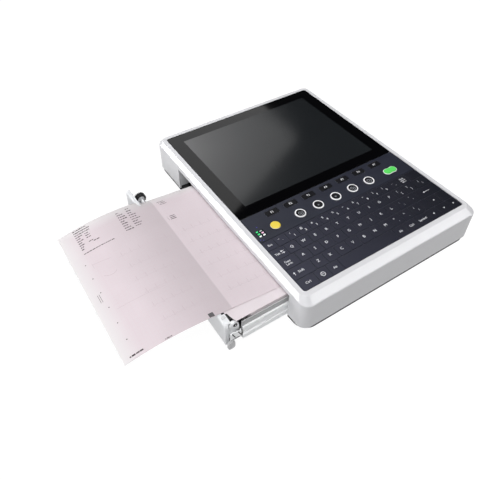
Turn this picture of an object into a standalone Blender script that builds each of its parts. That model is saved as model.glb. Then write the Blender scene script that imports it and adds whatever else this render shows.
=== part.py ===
"""A portable 12-lead ECG machine with a side paper drawer, as an assembly of separate pieces.

X runs to the operator's right, Y to the back and Z up. The origin is on the table, under the middle of
the whole object's footprint. Lengths below are in millimetres, measured from the front-left corner of
the dark control panel, with height zero at the panel's top face. The function world() moves a point of
that frame to Blender's metres.
"""

import math

import bpy
from mathutils import Vector

MM = 0.001
GAP = 0.3  # running gap between neighbouring solids

# Control panel: the cover glass behind and the keypad in front
PANEL_WIDTH = 248.7
PANEL_DEPTH = 319.1
PANEL_RADIUS = 3.5
PANEL_THICK = 1.7
KEYPAD_DEPTH = 126.0
BEZEL = 5.4  # flat rim around the panel

# Housing
WALL_OUT = 10.5  # panel edge to the side and back walls
FRONT_OUT = 16.0  # panel edge to the front wall
CHAMFER_DROP = 6.0
CORNER = 12.0
WALL = 2.5
SEAM = -45.5  # lower edge of the white housing
BASE_BOTTOM = -49.5
BASE_INSET = 0.6  # how far the base's skirt stands in from the housing's side
SKIRT_CORNER = 18.0
FOOT_DROP = 4.0
LEDGE_TOP = -2.0
CEILING = -4.0
RIM_UNDER = -11.5  # underside of the rim above the drawer opening
OPENING_FRONT = 11.5
OPENING_BACK = 264.0
RETURN_END = 4.0  # how far the opening's end walls reach inward

LEFT = -WALL_OUT
RIGHT = PANEL_WIDTH + WALL_OUT
FRONT = -FRONT_OUT
BACK = PANEL_DEPTH + WALL_OUT
HEIGHT = FOOT_DROP - BASE_BOTTOM  # panel top above the table

# Paper drawer, drawn pulled out
TRAVEL = 78.0
DRAWER_FACE = LEFT - TRAVEL
FACE_THICK = 4.0
FACE_NEAR_END = 15.8
FRONT_TOP = -13.2
FRONT_BOTTOM = -46.0
PAPER_WIDTH = 203.0
PAPER_LENGTH = 140.0
PACK_FRONT = 15.9
PACK_LEFT = -57.0
PACK_TOP = -13.3
TRAY_WALL = 1.4
TRAY_FLOOR = -42.0
TRAY_BACK_END = 86.0
TRAY_RIDGE = 2.2
SIDE_TOP = -16.8

# Printed sheet that hangs out over the drawer's front
SHEET_TOP = -12.4
SHEET_THICK = 0.5
SHEET_INNER_END = 8.0
SHEET_OUTER_END = -190.5
SHEET_BEND = -92.0  # the sheet starts to droop here
SHEET_DROOP = 16.0
SHEET_EDGE = 33.0  # its front edge where it crosses the drawer's face
SHEET_SLANT = 0.075  # it was pulled out slightly askew

# Platen roller and gears; the gear module is the tooth pitch over pi
ROLLER_X = -75.8
ROLLER_Z = -19.9
ROLLER_RADIUS = 6.5
SHAFT_RADIUS = 2.0
MODULE = 0.7
PLATEN_TEETH = 19
IDLER_TEETH = 24
PINION_TEETH = 12
IDLER_X, IDLER_Z = 17.8, -26.0
PINION_X, PINION_Z = 29.85, -30.3
GEAR_FRONT = 245.0
GEAR_WIDTH = 7.0

# Keys
F_KEY_PITCH = 28.0
F_KEY_FIRST = 41.5
F_KEY_ROW = 117.3
F_KEY_SIZE = (18.0, 8.4)
ROUND_KEY_ROW = 96.8
ROUND_KEY_FIRST = 69.3
ROUND_KEY_RADIUS = 7.0
COPY_KEY_X = 32.0
COPY_KEY_RADIUS = 6.2
START_KEY_X = 219.1
START_KEY_SIZE = (20.7, 10.9)
KEY_GROOVE = 0.9
KEY_CLEAR = 0.35  # gap around a hard key in the mat
STATUS_LOW = (4.2, 89.4)
STATUS_HIGH = (15.4, 100.4)
ROW_EDGES = (0.8, 17.5, 34.3, 51.0, 67.0, 82.0)

# Sockets on the back wall and on the right wall; both are guesses
PLUG_PROUD = 5.0
STUD_PROUD = 9.0
INLET_X, INLET_Z = 64.0, -31.0
SWITCH_X, SWITCH_Z = 92.0, -31.0
STUD_X, STUD_Z = 112.0, -31.0
USB_X, USB_Z = 158.0, -31.0
NETWORK_X, NETWORK_Z = 182.0, -30.0
PATIENT_Y, PATIENT_Z = 290.0, -29.0
INLET_SIZE = (26.6, 20.0)
SWITCH_SIZE = (13.0, 19.0)
USB_SIZE = (14.4, 7.6)
NETWORK_SIZE = (16.0, 14.0)
PATIENT_SIZE = (31.4, 12.4)

# Underneath
FEET_X = (20.0, 236.0)
FEET_Y = (4.0, 309.0)
BATTERY_LOW = (172.0, 20.0)
BATTERY_HIGH = (246.0, 80.0)
SPEAKER_X, SPEAKER_Y = 206.0, 222.0
SPEAKER_RADIUS = 15.0
RAIL_START = 8.6
RAIL_END = 160.0

CENTRE_X = (SHEET_OUTER_END + RIGHT + PLUG_PROUD) / 2
CENTRE_Y = (FRONT + BACK + STUD_PROUD) / 2

WHITE = ("white_housing", (0.83, 0.83, 0.86), 0.35, 0.0)
BLACK = ("black_base", (0.02, 0.02, 0.022), 0.55, 0.0)
GLASS = ("dark_glass", (0.015, 0.016, 0.018), 0.06, 0.0)
SILICONE = ("keypad_silicone", (0.045, 0.047, 0.058), 0.6, 0.0)
KEY_BLACK = ("key_black", (0.012, 0.012, 0.014), 0.4, 0.0)
KEY_YELLOW = ("key_yellow", (0.86, 0.62, 0.06), 0.4, 0.0)
KEY_GREEN = ("key_green", (0.12, 0.72, 0.22), 0.4, 0.0)
CLEAR = ("light_window", (0.10, 0.35, 0.15), 0.3, 0.0)
DRAWER = ("drawer_white", (0.76, 0.77, 0.78), 0.4, 0.0)
RAIL_GREY = ("tray_grey", (0.42, 0.42, 0.43), 0.5, 0.0)
PAPER = ("chart_paper", (0.83, 0.72, 0.76), 0.8, 0.0)
RUBBER = ("roller_rubber", (0.02, 0.02, 0.02), 0.7, 0.0)
STEEL = ("steel", (0.6, 0.6, 0.62), 0.3, 1.0)
ALUMINIUM = ("aluminium", (0.7, 0.7, 0.72), 0.4, 1.0)
BOARD = ("circuit_board", (0.02, 0.14, 0.07), 0.5, 0.0)
NYLON = ("gear_nylon", (0.03, 0.03, 0.03), 0.5, 0.0)
BATTERY = ("battery_wrap", (0.04, 0.09, 0.25), 0.4, 0.0)
SOCKET = ("socket_plastic", (0.03, 0.03, 0.03), 0.45, 0.0)
FOOT = ("foot_rubber", (0.03, 0.03, 0.03), 0.8, 0.0)
CERAMIC = ("head_ceramic", (0.35, 0.3, 0.25), 0.35, 0.0)


def clear_scene():
    for obj in list(bpy.data.objects):
        bpy.data.objects.remove(obj, do_unlink=True)


def world(x, y, z):
    return Vector(((x - CENTRE_X) * MM, (y - CENTRE_Y) * MM, (z + HEIGHT) * MM))


def material(look):
    name, colour, roughness, metallic = look
    found = bpy.data.materials.get(name)
    if found:
        return found
    made = bpy.data.materials.new(name)
    made.use_nodes = True
    shader = made.node_tree.nodes["Principled BSDF"]
    shader.inputs["Base Color"].default_value = (*colour, 1.0)
    shader.inputs["Roughness"].default_value = roughness
    shader.inputs["Metallic"].default_value = metallic
    made.diffuse_color = (*colour, 1.0)
    return made


# Outlines and shapes. A shape is a list of points and a list of faces that look outward.


def rounded_rectangle(x0, y0, x1, y1, radius, steps=5):
    corners = ((x1, y1, 0), (x0, y1, 90), (x0, y0, 180), (x1, y0, 270))
    outline = []
    for x, y, start in corners:
        cx = x - math.copysign(radius, x - (x0 + x1) / 2)
        cy = y - math.copysign(radius, y - (y0 + y1) / 2)
        for step in range(steps + 1):
            turn = math.radians(start + 90 * step / steps)
            outline.append((cx + radius * math.cos(turn), cy + radius * math.sin(turn)))
    return outline


def circle(u, v, radius, steps=24):
    turns = [2 * math.pi * step / steps for step in range(steps)]
    return [(u + radius * math.cos(turn), v + radius * math.sin(turn)) for turn in turns]


def rectangle(u0, v0, u1, v1):
    return [(u0, v0), (u1, v0), (u1, v1), (u0, v1)]


def loft(rings):
    """Skin over equal rings of points, each anticlockwise seen from the far end."""
    count = len(rings[0])
    points = [point for ring in rings for point in ring]
    faces = [tuple(reversed(range(count)))]
    for level in range(len(rings) - 1):
        low, high = level * count, (level + 1) * count
        for i in range(count):
            j = (i + 1) % count
            faces.append((low + i, low + j, high + j, high + i))
    faces.append(tuple(range((len(rings) - 1) * count, len(rings) * count)))
    return points, faces


def prism(outline, low, high, axis="z"):
    """Extrude an outline given in the two other axes, in X, Y, Z order."""
    if axis == "z":
        rings = [[(u, v, level) for u, v in outline] for level in (low, high)]
    elif axis == "x":
        rings = [[(level, u, v) for u, v in outline] for level in (low, high)]
    else:
        rings = [[(u, level, v) for u, v in reversed(outline)] for level in (low, high)]
    return loft(rings)


def box(low, high):
    return prism(rectangle(low[0], low[1], high[0], high[1]), low[2], high[2])


def rod(u, v, radius, low, high, axis, steps=24):
    return prism(circle(u, v, radius, steps), low, high, axis)


def tube(u, v, outer, inner, low, high, axis, steps=24):
    """A ring with a bore, as one closed skin."""
    rings = []
    for radius, level in ((outer, low), (outer, high), (inner, high), (inner, low)):
        rings.append([(a, b, level) for a, b in circle(u, v, radius, steps)])
    points = [point for ring in rings for point in ring]
    faces = []
    for ring in range(4):
        here, there = ring * steps, (ring + 1) % 4 * steps
        for i in range(steps):
            j = (i + 1) % steps
            faces.append((here + i, here + j, there + j, there + i))
    if axis == "x":
        points = [(level, a, b) for a, b, level in points]
    elif axis == "y":
        points = [(a, level, b) for a, b, level in points]
        faces = [tuple(reversed(face)) for face in faces]
    return points, faces


def gear_outline(u, v, teeth, phase):
    """Straight-sided teeth, a little slimmer than their gaps."""
    pitch_radius = MODULE * teeth / 2
    root, tip = pitch_radius - 1.15 * MODULE, pitch_radius + MODULE * 0.95
    outline = []
    for tooth in range(teeth):
        middle = (tooth + phase) * 2 * math.pi / teeth
        for share, radius in ((-0.27, root), (-0.11, tip), (0.11, tip), (0.27, root)):
            turn = middle + share * 2 * math.pi / teeth
            outline.append((u + radius * math.cos(turn), v + radius * math.sin(turn)))
    return outline


# Blender objects


def make(name, shape, look, origin=None, smooth=False):
    """One object from a shape; a moving piece gets its origin on its joint's axis."""
    points, faces = shape
    place = world(*origin) if origin else Vector((0, 0, 0))
    mesh = bpy.data.meshes.new(name)
    mesh.from_pydata([world(*point) - place for point in points], [], faces)
    mesh.materials.append(material(look))
    if smooth:
        mesh.shade_smooth()
        mesh.set_sharp_from_angle(angle=math.radians(35))
    obj = bpy.data.objects.new(name, mesh)
    obj.location = place
    bpy.context.scene.collection.objects.link(obj)
    return obj


def joined(shapes):
    points, faces = [], []
    for more_points, more_faces in shapes:
        start = len(points)
        points += more_points
        faces += [tuple(index + start for index in face) for face in more_faces]
    return points, faces


def settle(obj):
    """Replace the mesh by what its modifiers make of it."""
    bpy.context.view_layer.update()
    ready = obj.evaluated_get(bpy.context.evaluated_depsgraph_get())
    mesh = bpy.data.meshes.new_from_object(ready)
    obj.modifiers.clear()
    obj.data = mesh


def combine(obj, shapes, operation):
    """Add or cut away shapes that are clear of each other."""
    tool = make("tool", joined(shapes), STEEL)
    step = obj.modifiers.new("combine", "BOOLEAN")
    step.operation = operation
    step.solver = "EXACT"
    step.object = tool
    settle(obj)
    bpy.data.objects.remove(tool, do_unlink=True)
    return obj


def add(obj, *shapes):
    return combine(obj, shapes, "UNION")


def cut(obj, *shapes):
    return combine(obj, shapes, "DIFFERENCE")


def soften(obj, width, segments=2):
    bevel = obj.modifiers.new("edges", "BEVEL")
    bevel.width = width * MM
    bevel.segments = segments
    bevel.limit_method = "ANGLE"
    bevel.angle_limit = math.radians(50)
    return obj


# Housing


def housing_ring(inset, height, radius, front_inset=None):
    front = FRONT + (inset if front_inset is None else front_inset)
    outline = rounded_rectangle(LEFT + inset, front, RIGHT - inset, BACK - inset, radius)
    return [(x, y, height) for x, y in outline]


def back_block(x, z, size, front, back):
    """A block at the back wall, centred on x and z; size is its width and height."""
    half, tall = size[0] / 2, size[1] / 2
    return box((x - half, front, z - tall), (x + half, back, z + tall))


def wall_holes():
    """Cut-outs for the sockets, each with a gap around its socket."""
    holes = []
    inner, outer = BACK - WALL - 1, BACK + 1
    for x, z, size in (
        (INLET_X, INLET_Z, INLET_SIZE),
        (SWITCH_X, SWITCH_Z, SWITCH_SIZE),
        (USB_X, USB_Z, USB_SIZE),
        (NETWORK_X, NETWORK_Z, NETWORK_SIZE),
    ):
        holes.append(back_block(x, z, (size[0] + 2 * GAP, size[1] + 2 * GAP), inner, outer))
    holes.append(rod(STUD_X, STUD_Z, 4.0, inner, outer, "y"))
    wide, tall = PATIENT_SIZE[0] / 2 + GAP, PATIENT_SIZE[1] / 2 + GAP
    holes.append(box((RIGHT - WALL - 1, PATIENT_Y - wide, PATIENT_Z - tall),
                     (RIGHT + 1, PATIENT_Y + wide, PATIENT_Z + tall)))
    return holes


def upper_housing():
    bezel = WALL_OUT - BEZEL
    outer = loft([
        housing_ring(0, SEAM, CORNER),
        housing_ring(0, -CHAMFER_DROP, CORNER),
        housing_ring(bezel, 0, 8.0, FRONT_OUT - BEZEL),
    ])
    shell = make("upper_housing", outer, WHITE)
    cavity = loft([
        housing_ring(WALL, SEAM - 1, CORNER - WALL),
        housing_ring(WALL, CEILING - 3.2, CORNER - WALL),
        housing_ring(6.3, CEILING, 7.0, FRONT_OUT - 5.5),
    ])
    cut(shell, cavity)
    ends = []
    for y in (OPENING_FRONT - 2, OPENING_BACK):
        ends.append(box((LEFT + 0.8, y, -42.0), (RETURN_END, y + 2, -5.5)))
    add(shell, *ends)
    window = rounded_rectangle(0, 0, PANEL_WIDTH, PANEL_DEPTH, PANEL_RADIUS)
    cut(shell, prism(window, LEDGE_TOP, 1))
    through = rounded_rectangle(4, 4, PANEL_WIDTH - 4, PANEL_DEPTH - 4, 2.0)
    cut(shell, prism(through, CEILING - 1, LEDGE_TOP + 0.5))
    cut(shell, box((LEFT - 1, OPENING_FRONT, SEAM - 1), (LEFT + WALL + 0.4, OPENING_BACK, RIM_UNDER)))
    cut(shell, *wall_holes())
    return shell


def base_ring(inset, height, radius=11.0):
    reach = WALL + 0.4 + inset
    outline = rounded_rectangle(LEFT + reach, FRONT + reach, RIGHT - reach, BACK - reach, radius)
    return [(x, y, height) for x, y in outline]


def base_tray():
    skirt = SEAM - GAP
    outer = BASE_INSET - WALL - 0.4
    rings = [base_ring(outer, BASE_BOTTOM, SKIRT_CORNER), base_ring(outer, skirt, SKIRT_CORNER)]
    rings += [base_ring(0, skirt), base_ring(0, -41.6)]
    shell = make("base_tray", loft(rings), BLACK)
    cut(shell, loft([base_ring(2.0, -47.0, 9.0), base_ring(2.0, -39.0, 9.0)]))
    notch = box((LEFT, OPENING_FRONT - 2, -60), (RETURN_END + 0.5, OPENING_BACK + 2, -30))
    cut(shell, notch)
    left = LEFT + WALL + 0.4
    lips = []
    for y in (OPENING_FRONT - 3.5, OPENING_BACK):
        profile = [
            (LEFT + BASE_INSET, BASE_BOTTOM), (RETURN_END + 0.5, BASE_BOTTOM), (RETURN_END + 0.5, -42.4),
            (left, -42.4), (left, skirt), (LEFT + BASE_INSET, skirt),
        ]
        lips.append(prism(list(reversed(profile)), y, y + 3.5, "y"))
    add(shell, *lips)
    hatch = (BATTERY_LOW[0] - GAP, BATTERY_LOW[1] - GAP), (BATTERY_HIGH[0] + GAP, BATTERY_HIGH[1] + GAP)
    cut(shell, box((*hatch[0], -60), (*hatch[1], -46)))
    slots = []
    for step in range(-2, 3):
        y = SPEAKER_Y + step * 5
        slots.append(box((SPEAKER_X - 10, y - 1, -60), (SPEAKER_X + 10, y + 1, -46)))
    cut(shell, *slots)
    return shell


def feet():
    places = [(x, y) for y in FEET_Y for x in FEET_X]
    for number, (x, y) in enumerate(places, 1):
        top = BASE_BOTTOM - GAP
        rings = [circle(x, y, radius) for radius in (6.0, 7.0, 7.0)]
        levels = (-HEIGHT, -HEIGHT + 1.2, top)
        shape = loft([[(a, b, z) for a, b in ring] for ring, z in zip(rings, levels)])
        make(f"foot_{number}", shape, FOOT, smooth=True)


# Panel


def display():
    glass = rounded_rectangle(GAP, KEYPAD_DEPTH + GAP, PANEL_WIDTH - GAP, PANEL_DEPTH - GAP, PANEL_RADIUS)
    make("display_glass", prism(glass, -PANEL_THICK, 0), GLASS)
    make("lcd_module", box((13.8, 138.0, -8.6), (235.8, 306.5, -2.1)), ALUMINIUM)


def typing_keys():
    """Column edges of each row of the typing keypad, front to back."""
    first, last = 0.8, PANEL_WIDTH - 0.8
    return [
        [first, 24.3, 41.5, 58.5, 142.0, 159.2, 177.4, 196.8, 215.3, 233.2, last],
        [first] + [32.3 + 17.05 * i for i in range(11)] + [215.6, 232.6, last],
        [first] + [24.1 + 17.05 * i for i in range(12)] + [last],
        [first] + [20.5 + 16.97 * i for i in range(13)] + [last],
        [first] + [16.3 + 16.3 * i for i in range(14)] + [last],
    ]


def round_key_places():
    return [ROUND_KEY_FIRST + F_KEY_PITCH * number for number in range(5)]


def f_key_places():
    return [F_KEY_FIRST + F_KEY_PITCH * number for number in range(7)]


def capsule(x, y, size, grow=0.0):
    half, radius = size[0] / 2 + grow, size[1] / 2 + grow
    return rounded_rectangle(x - half, y - radius, x + half, y + radius, radius - 0.01, 8)


def pad(x, y, size, grow=0.0):
    half, deep = size[0] / 2 + grow, size[1] / 2 + grow
    return rounded_rectangle(x - half, y - deep, x + half, y + deep, 1.6 + grow, 3)


def keypad_mat():
    sheet = rounded_rectangle(GAP, GAP, PANEL_WIDTH - GAP, KEYPAD_DEPTH - GAP, PANEL_RADIUS)
    slab = box((-1, -1, -PANEL_THICK), (PANEL_WIDTH + 1, KEYPAD_DEPTH + 1, -0.5))
    mat = make("keypad_mat", slab, SILICONE)
    caps = []
    for row, columns in enumerate(typing_keys()):
        front, back = ROW_EDGES[row], ROW_EDGES[row + 1] - KEY_GROOVE
        for left, right in zip(columns, columns[1:]):
            caps.append(box((left, front, -0.9), (right - KEY_GROOVE, back, 0)))
    add(mat, *caps)
    add(mat, box((0.8, 82.4, -0.9), (PANEL_WIDTH - 0.8, KEYPAD_DEPTH - 0.8, 0)))
    combine(mat, [prism(sheet, -4, 2)], "INTERSECT")
    holes = [pad(x, F_KEY_ROW, F_KEY_SIZE, KEY_CLEAR) for x in f_key_places()]
    holes += [circle(x, ROUND_KEY_ROW, ROUND_KEY_RADIUS + KEY_CLEAR, 32) for x in round_key_places()]
    holes.append(circle(COPY_KEY_X, ROUND_KEY_ROW, COPY_KEY_RADIUS + KEY_CLEAR, 32))
    holes.append(capsule(START_KEY_X, ROUND_KEY_ROW, START_KEY_SIZE, KEY_CLEAR))
    holes.append(rounded_rectangle(*STATUS_LOW, *STATUS_HIGH, 1.0, 2))
    cut(mat, *[prism(hole, -4, 2) for hole in holes])
    return mat


def domed_key(name, outline_at, look, top, x, y):
    """A hard key cap; outline_at gives its outline for a given growth."""
    levels = ((-PANEL_THICK, -0.2), (top - 0.5, 0.0), (top, -0.7))
    rings = [[(a, b, z) for a, b in outline_at(grow)] for z, grow in levels]
    make(name, loft(rings), look, origin=(x, y, 0), smooth=True)


def function_keys():
    for number, x in enumerate(f_key_places(), 1):
        domed_key(f"f_key_{number}", lambda grow, x=x: pad(x, F_KEY_ROW, F_KEY_SIZE, grow),
                  KEY_BLACK, 0.25, x, F_KEY_ROW)
    for number, x in enumerate(round_key_places(), 1):
        domed_key(f"round_key_{number}",
                  lambda grow, x=x: circle(x, ROUND_KEY_ROW, ROUND_KEY_RADIUS + grow, 32),
                  KEY_BLACK, 0.8, x, ROUND_KEY_ROW)
    domed_key("copy_key", lambda grow: circle(COPY_KEY_X, ROUND_KEY_ROW, COPY_KEY_RADIUS + grow, 32),
              KEY_YELLOW, 1.2, COPY_KEY_X, ROUND_KEY_ROW)
    domed_key("start_key", lambda grow: capsule(START_KEY_X, ROUND_KEY_ROW, START_KEY_SIZE, grow),
              KEY_GREEN, 1.0, START_KEY_X, ROUND_KEY_ROW)


def status_window():
    shape = rounded_rectangle(STATUS_LOW[0] + GAP, STATUS_LOW[1] + GAP,
                              STATUS_HIGH[0] - GAP, STATUS_HIGH[1] - GAP, 0.8, 2)
    make("status_window", prism(shape, -PANEL_THICK, 0), CLEAR)


# Electronics inside the housing


def chip(low, size, height):
    return box(low, (low[0] + size[0], low[1] + size[1], low[2] + height))


def boards():
    make("keypad_board", box((5.0, 5.0, -5.0), (243.7, 122.0, -3.4)), BOARD)
    main = make("main_board", box((174.0, 96.0, -31.6), (250.0, 196.0, -30.0)), BOARD)
    level = -30.2
    add(main,
        chip((196, 128, level), (26, 26), 2.4),
        chip((230, 120, level), (12, 18), 2.0),
        chip((182, 104, level), (14, 10), 2.0),
        chip((186, 170, level), (40, 14), 5.0),
        chip((236, 160, level), (9, 26), 6.0))
    module = make("ecg_input_module", box((206.0, 262.0, -42.0), (250.0, 318.0, -21.0)), ALUMINIUM)
    soften(module, 1.0, 1)
    supply = make("power_supply", box((44.0, 290.0, -44.0), (134.0, 310.0, -15.0)), ALUMINIUM)
    vents = [box((52.0 + 9 * step, 288.0, -40.0), (56.0 + 9 * step, 291.5, -19.0)) for step in range(9)]
    cut(supply, *vents)
    low = (BATTERY_LOW[0] + 2, BATTERY_LOW[1] + 2, -46.6)
    high = (BATTERY_HIGH[0] - 2, BATTERY_HIGH[1] - 2, -25)
    soften(make("battery_pack", box(low, high), BATTERY), 2.0)
    cover = make("battery_cover", box((*BATTERY_LOW, BASE_BOTTOM), (*BATTERY_HIGH, -47.0)), BLACK)
    x, y = BATTERY_LOW[0] + 37, BATTERY_LOW[1] + 6
    cut(cover, box((x - 12, y - 2.5, BASE_BOTTOM - 1), (x + 12, y + 2.5, BASE_BOTTOM + 1.0)))
    speaker = make("speaker", rod(SPEAKER_X, SPEAKER_Y, SPEAKER_RADIUS, -46.6, -41.0, "z", 32), SOCKET)
    add(speaker, rod(SPEAKER_X, SPEAKER_Y, 8.5, -41.2, -36.0, "z"))


# Printer


def printer():
    mount = make("head_mount", box((-4.0, 16.0, -7.8), (12.6, 230.0, -5.3)), STEEL)
    ribs = [box((-2.0, 24.0 + 28 * step, -9.0), (10.0, 44.0 + 28 * step, -6.6)) for step in range(7)]
    cut(mount, *ribs)
    low, high = -11.8, -9.4
    outline = [(-6.0, low + 0.5), (-5.2, low), (3.2, low), (11.6, low + 0.8), (11.6, high), (-6.0, high)]
    make("print_head", prism(outline, 20.0, 226.0, "y"), CERAMIC, origin=(11.6, 123.0, high))
    motor = make("stepper_motor", rod(PINION_X, PINION_Z, 13.0, 257.0, 281.0, "y", 32), STEEL)
    add(motor, box((PINION_X - 17.0, 256.9, PINION_Z - 4), (PINION_X + 17.0, 258.4, PINION_Z + 4)))
    plate = box((6.2, 254.0, -46.6), (47.0, 256.5, -14.0))
    bracket = make("gear_bracket", plate, STEEL)
    add(bracket, box((6.2, 254.2, -46.6), (47.0, 263.0, -44.6)))
    add(bracket, rod(IDLER_X, IDLER_Z, SHAFT_RADIUS, GEAR_FRONT - 1.5, 254.4, "y", 16))
    cut(bracket, rod(PINION_X, PINION_Z, 2.4, 250, 260, "y"))


def gears():
    back = GEAR_FRONT + GEAR_WIDTH
    teeth = prism(gear_outline(PINION_X, PINION_Z, PINION_TEETH, 0.0), GEAR_FRONT - 0.5, back + 0.5, "y")
    pinion = make("motor_pinion", teeth, STEEL, origin=(PINION_X, GEAR_FRONT, PINION_Z))
    add(pinion, rod(PINION_X, PINION_Z, 1.8, back, 256.6, "y", 16))
    mesh_angle = math.atan2(PINION_Z - IDLER_Z, PINION_X - IDLER_X)
    # A gap of the idler faces the pinion's nearest tooth
    toward_idler = (mesh_angle + math.pi) / (2 * math.pi) * PINION_TEETH
    lead = (toward_idler - round(toward_idler)) / PINION_TEETH * 2 * math.pi
    facing = mesh_angle / (2 * math.pi) * IDLER_TEETH
    phase = facing + lead * PINION_TEETH / (2 * math.pi) + 0.5
    teeth = prism(gear_outline(IDLER_X, IDLER_Z, IDLER_TEETH, phase % 1.0), GEAR_FRONT, back, "y")
    idler = make("idler_gear", teeth, NYLON, origin=(IDLER_X, GEAR_FRONT, IDLER_Z))
    cut(idler, rod(IDLER_X, IDLER_Z, SHAFT_RADIUS + GAP, GEAR_FRONT - 2, back + 2, "y", 16))


# Sockets


def mains_sockets():
    inlet = make("mains_inlet", back_block(INLET_X, INLET_Z, INLET_SIZE, 311.0, BACK + 0.9), SOCKET)
    cut(inlet, back_block(INLET_X, INLET_Z, (22.6, 15.2), 314.0, BACK + 2))
    frame = make("switch_frame", back_block(SWITCH_X, SWITCH_Z, SWITCH_SIZE, 317.0, BACK + 0.9), SOCKET)
    cut(frame, back_block(SWITCH_X, SWITCH_Z, (10.6, 16.6), 320.0, BACK + 2))
    pivot = BACK - 4.5
    outline = [
        (pivot - 3.0, SWITCH_Z - 5.0), (BACK + 1.4, SWITCH_Z - 6.7), (BACK - 0.2, SWITCH_Z),
        (BACK - 0.9, SWITCH_Z + 6.6), (pivot - 3.0, SWITCH_Z + 5.0),
    ]
    rocker = prism(outline, SWITCH_X - 4.9, SWITCH_X + 4.9, "x")
    make("power_switch", rocker, SOCKET, origin=(SWITCH_X, pivot, SWITCH_Z))
    stud = rod(STUD_X, STUD_Z, 3.0, BACK - WALL - 6, BACK + STUD_PROUD, "y")
    add(make("earth_stud", stud, STEEL), rod(STUD_X, STUD_Z, 6.0, BACK + GAP, BACK + 2.0, "y", 6))


def data_sockets():
    usb = make("usb_port", back_block(USB_X, USB_Z, USB_SIZE, 313.0, BACK + 0.3), STEEL)
    cut(usb, back_block(USB_X, USB_Z, (12.8, 5.6), 316.0, BACK + 2))
    port = make("network_port", back_block(NETWORK_X, NETWORK_Z, NETWORK_SIZE, 311.0, BACK + 0.3), SOCKET)
    cut(port, back_block(NETWORK_X, NETWORK_Z - 0.6, (12.0, 8.0), 316.0, BACK + 2))
    wide, tall = PATIENT_SIZE[0] / 2, PATIENT_SIZE[1] / 2
    low = (252.0, PATIENT_Y - wide, PATIENT_Z - tall)
    high = (RIGHT + 0.8, PATIENT_Y + wide, PATIENT_Z + tall)
    plug = make("patient_connector", box(low, high), STEEL)
    shell = [(-12.9, 4.2), (-11.2, -4.2), (11.2, -4.2), (12.9, 4.2)]
    outside = [(PATIENT_Y + y, PATIENT_Z + z) for y, z in shell]
    inside = [(PATIENT_Y + y * 0.94, PATIENT_Z + z * 0.83) for y, z in shell]
    add(plug, prism(outside, RIGHT - 1, RIGHT + PLUG_PROUD, "x"))
    cut(plug, prism(inside, RIGHT - 2.5, RIGHT + PLUG_PROUD + 1, "x"))


# Drawer


def tray_side(front, outward):
    """Side wall's outline in Y and Z: the wall, a slide ledge and a lower ridge."""
    wall, ridge = front - outward * TRAY_WALL, front - outward * (TRAY_WALL + TRAY_RIDGE)
    outline = [
        (front, SIDE_TOP), (wall, SIDE_TOP), (wall, -24.0), (ridge, -24.0), (ridge, -28.6),
        (wall, -28.6), (wall, -38.0), (ridge, -38.0), (ridge, -45.0), (front, -45.0),
    ]
    return outline if outward > 0 else list(reversed(outline))


def drawer_tray():
    near = PACK_FRONT - GAP
    far = PACK_FRONT + PAPER_WIDTH + GAP
    tray = make("drawer_tray", box((DRAWER_FACE + FACE_THICK + GAP, near - 0.7, TRAY_FLOOR),
                                   (TRAY_BACK_END, far + 0.7, TRAY_FLOOR + 2)), RAIL_GREY)
    add(tray, prism(tray_side(near, 1), -69.0, TRAY_BACK_END, "x"))
    add(tray, prism(tray_side(far, -1), -69.0, TRAY_BACK_END, "x"))
    add(tray, box((TRAY_BACK_END - 1.5, near - 0.5, TRAY_FLOOR + 1), (TRAY_BACK_END, far + 0.5, SIDE_TOP)))
    add(tray, box((-60.2, near - 0.5, TRAY_FLOOR + 1), (-58.8, far + 0.5, -27.0)))
    return tray


def guide_rails():
    near = PACK_FRONT - GAP - TRAY_WALL
    far = PACK_FRONT + PAPER_WIDTH + GAP + TRAY_WALL
    for name, wall, side in (("guide_rail_near", near, -1), ("guide_rail_far", far, 1)):
        tongue, web, foot = wall + side * GAP, wall + side * 3.7, wall + side * 6.4
        outline = [
            (tongue, -29.8), (tongue, -36.6), (web, -36.6), (web, -46.6), (foot, -46.6), (foot, -29.8),
        ]
        if side < 0:
            outline.reverse()
        make(name, prism(outline, RAIL_START, RAIL_END, "x"), ALUMINIUM)


def front_profile():
    """Drawer front's cross-section in X and Z, with a rounded top that guides the paper."""
    face = DRAWER_FACE
    curve = []
    for step in range(5):
        turn = math.radians(180 - 90 * step / 4)
        curve.append((face + 2.6 + 2.6 * math.cos(turn), FRONT_TOP - 2.6 + 2.6 * math.sin(turn)))
    inner = face + FACE_THICK
    lip = [(inner + 1.1, FRONT_TOP), (inner + 0.6, FRONT_TOP - 2.2), (inner, FRONT_TOP - 3.4)]
    outline = [(face, FRONT_BOTTOM)] + curve + lip + [(inner, FRONT_BOTTOM)]
    return list(reversed(outline))


def gear_cradle():
    """Hollow rib behind the drawer's front that shields the platen gear."""
    radius = 8.4
    left, right = DRAWER_FACE + FACE_THICK - 0.5, -72.5
    start = math.acos((right - ROLLER_X) / radius)
    steps = 8
    arc = []
    for step in range(steps + 1):
        turn = -start - (math.pi / 2 + 0.35 - start) * step / steps
        arc.append((ROLLER_X + radius * math.cos(turn), ROLLER_Z + radius * math.sin(turn)))
    arc.append((left, arc[-1][1] + 1.6))
    return [(left, -40.0), (right, -40.0)] + arc


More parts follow.
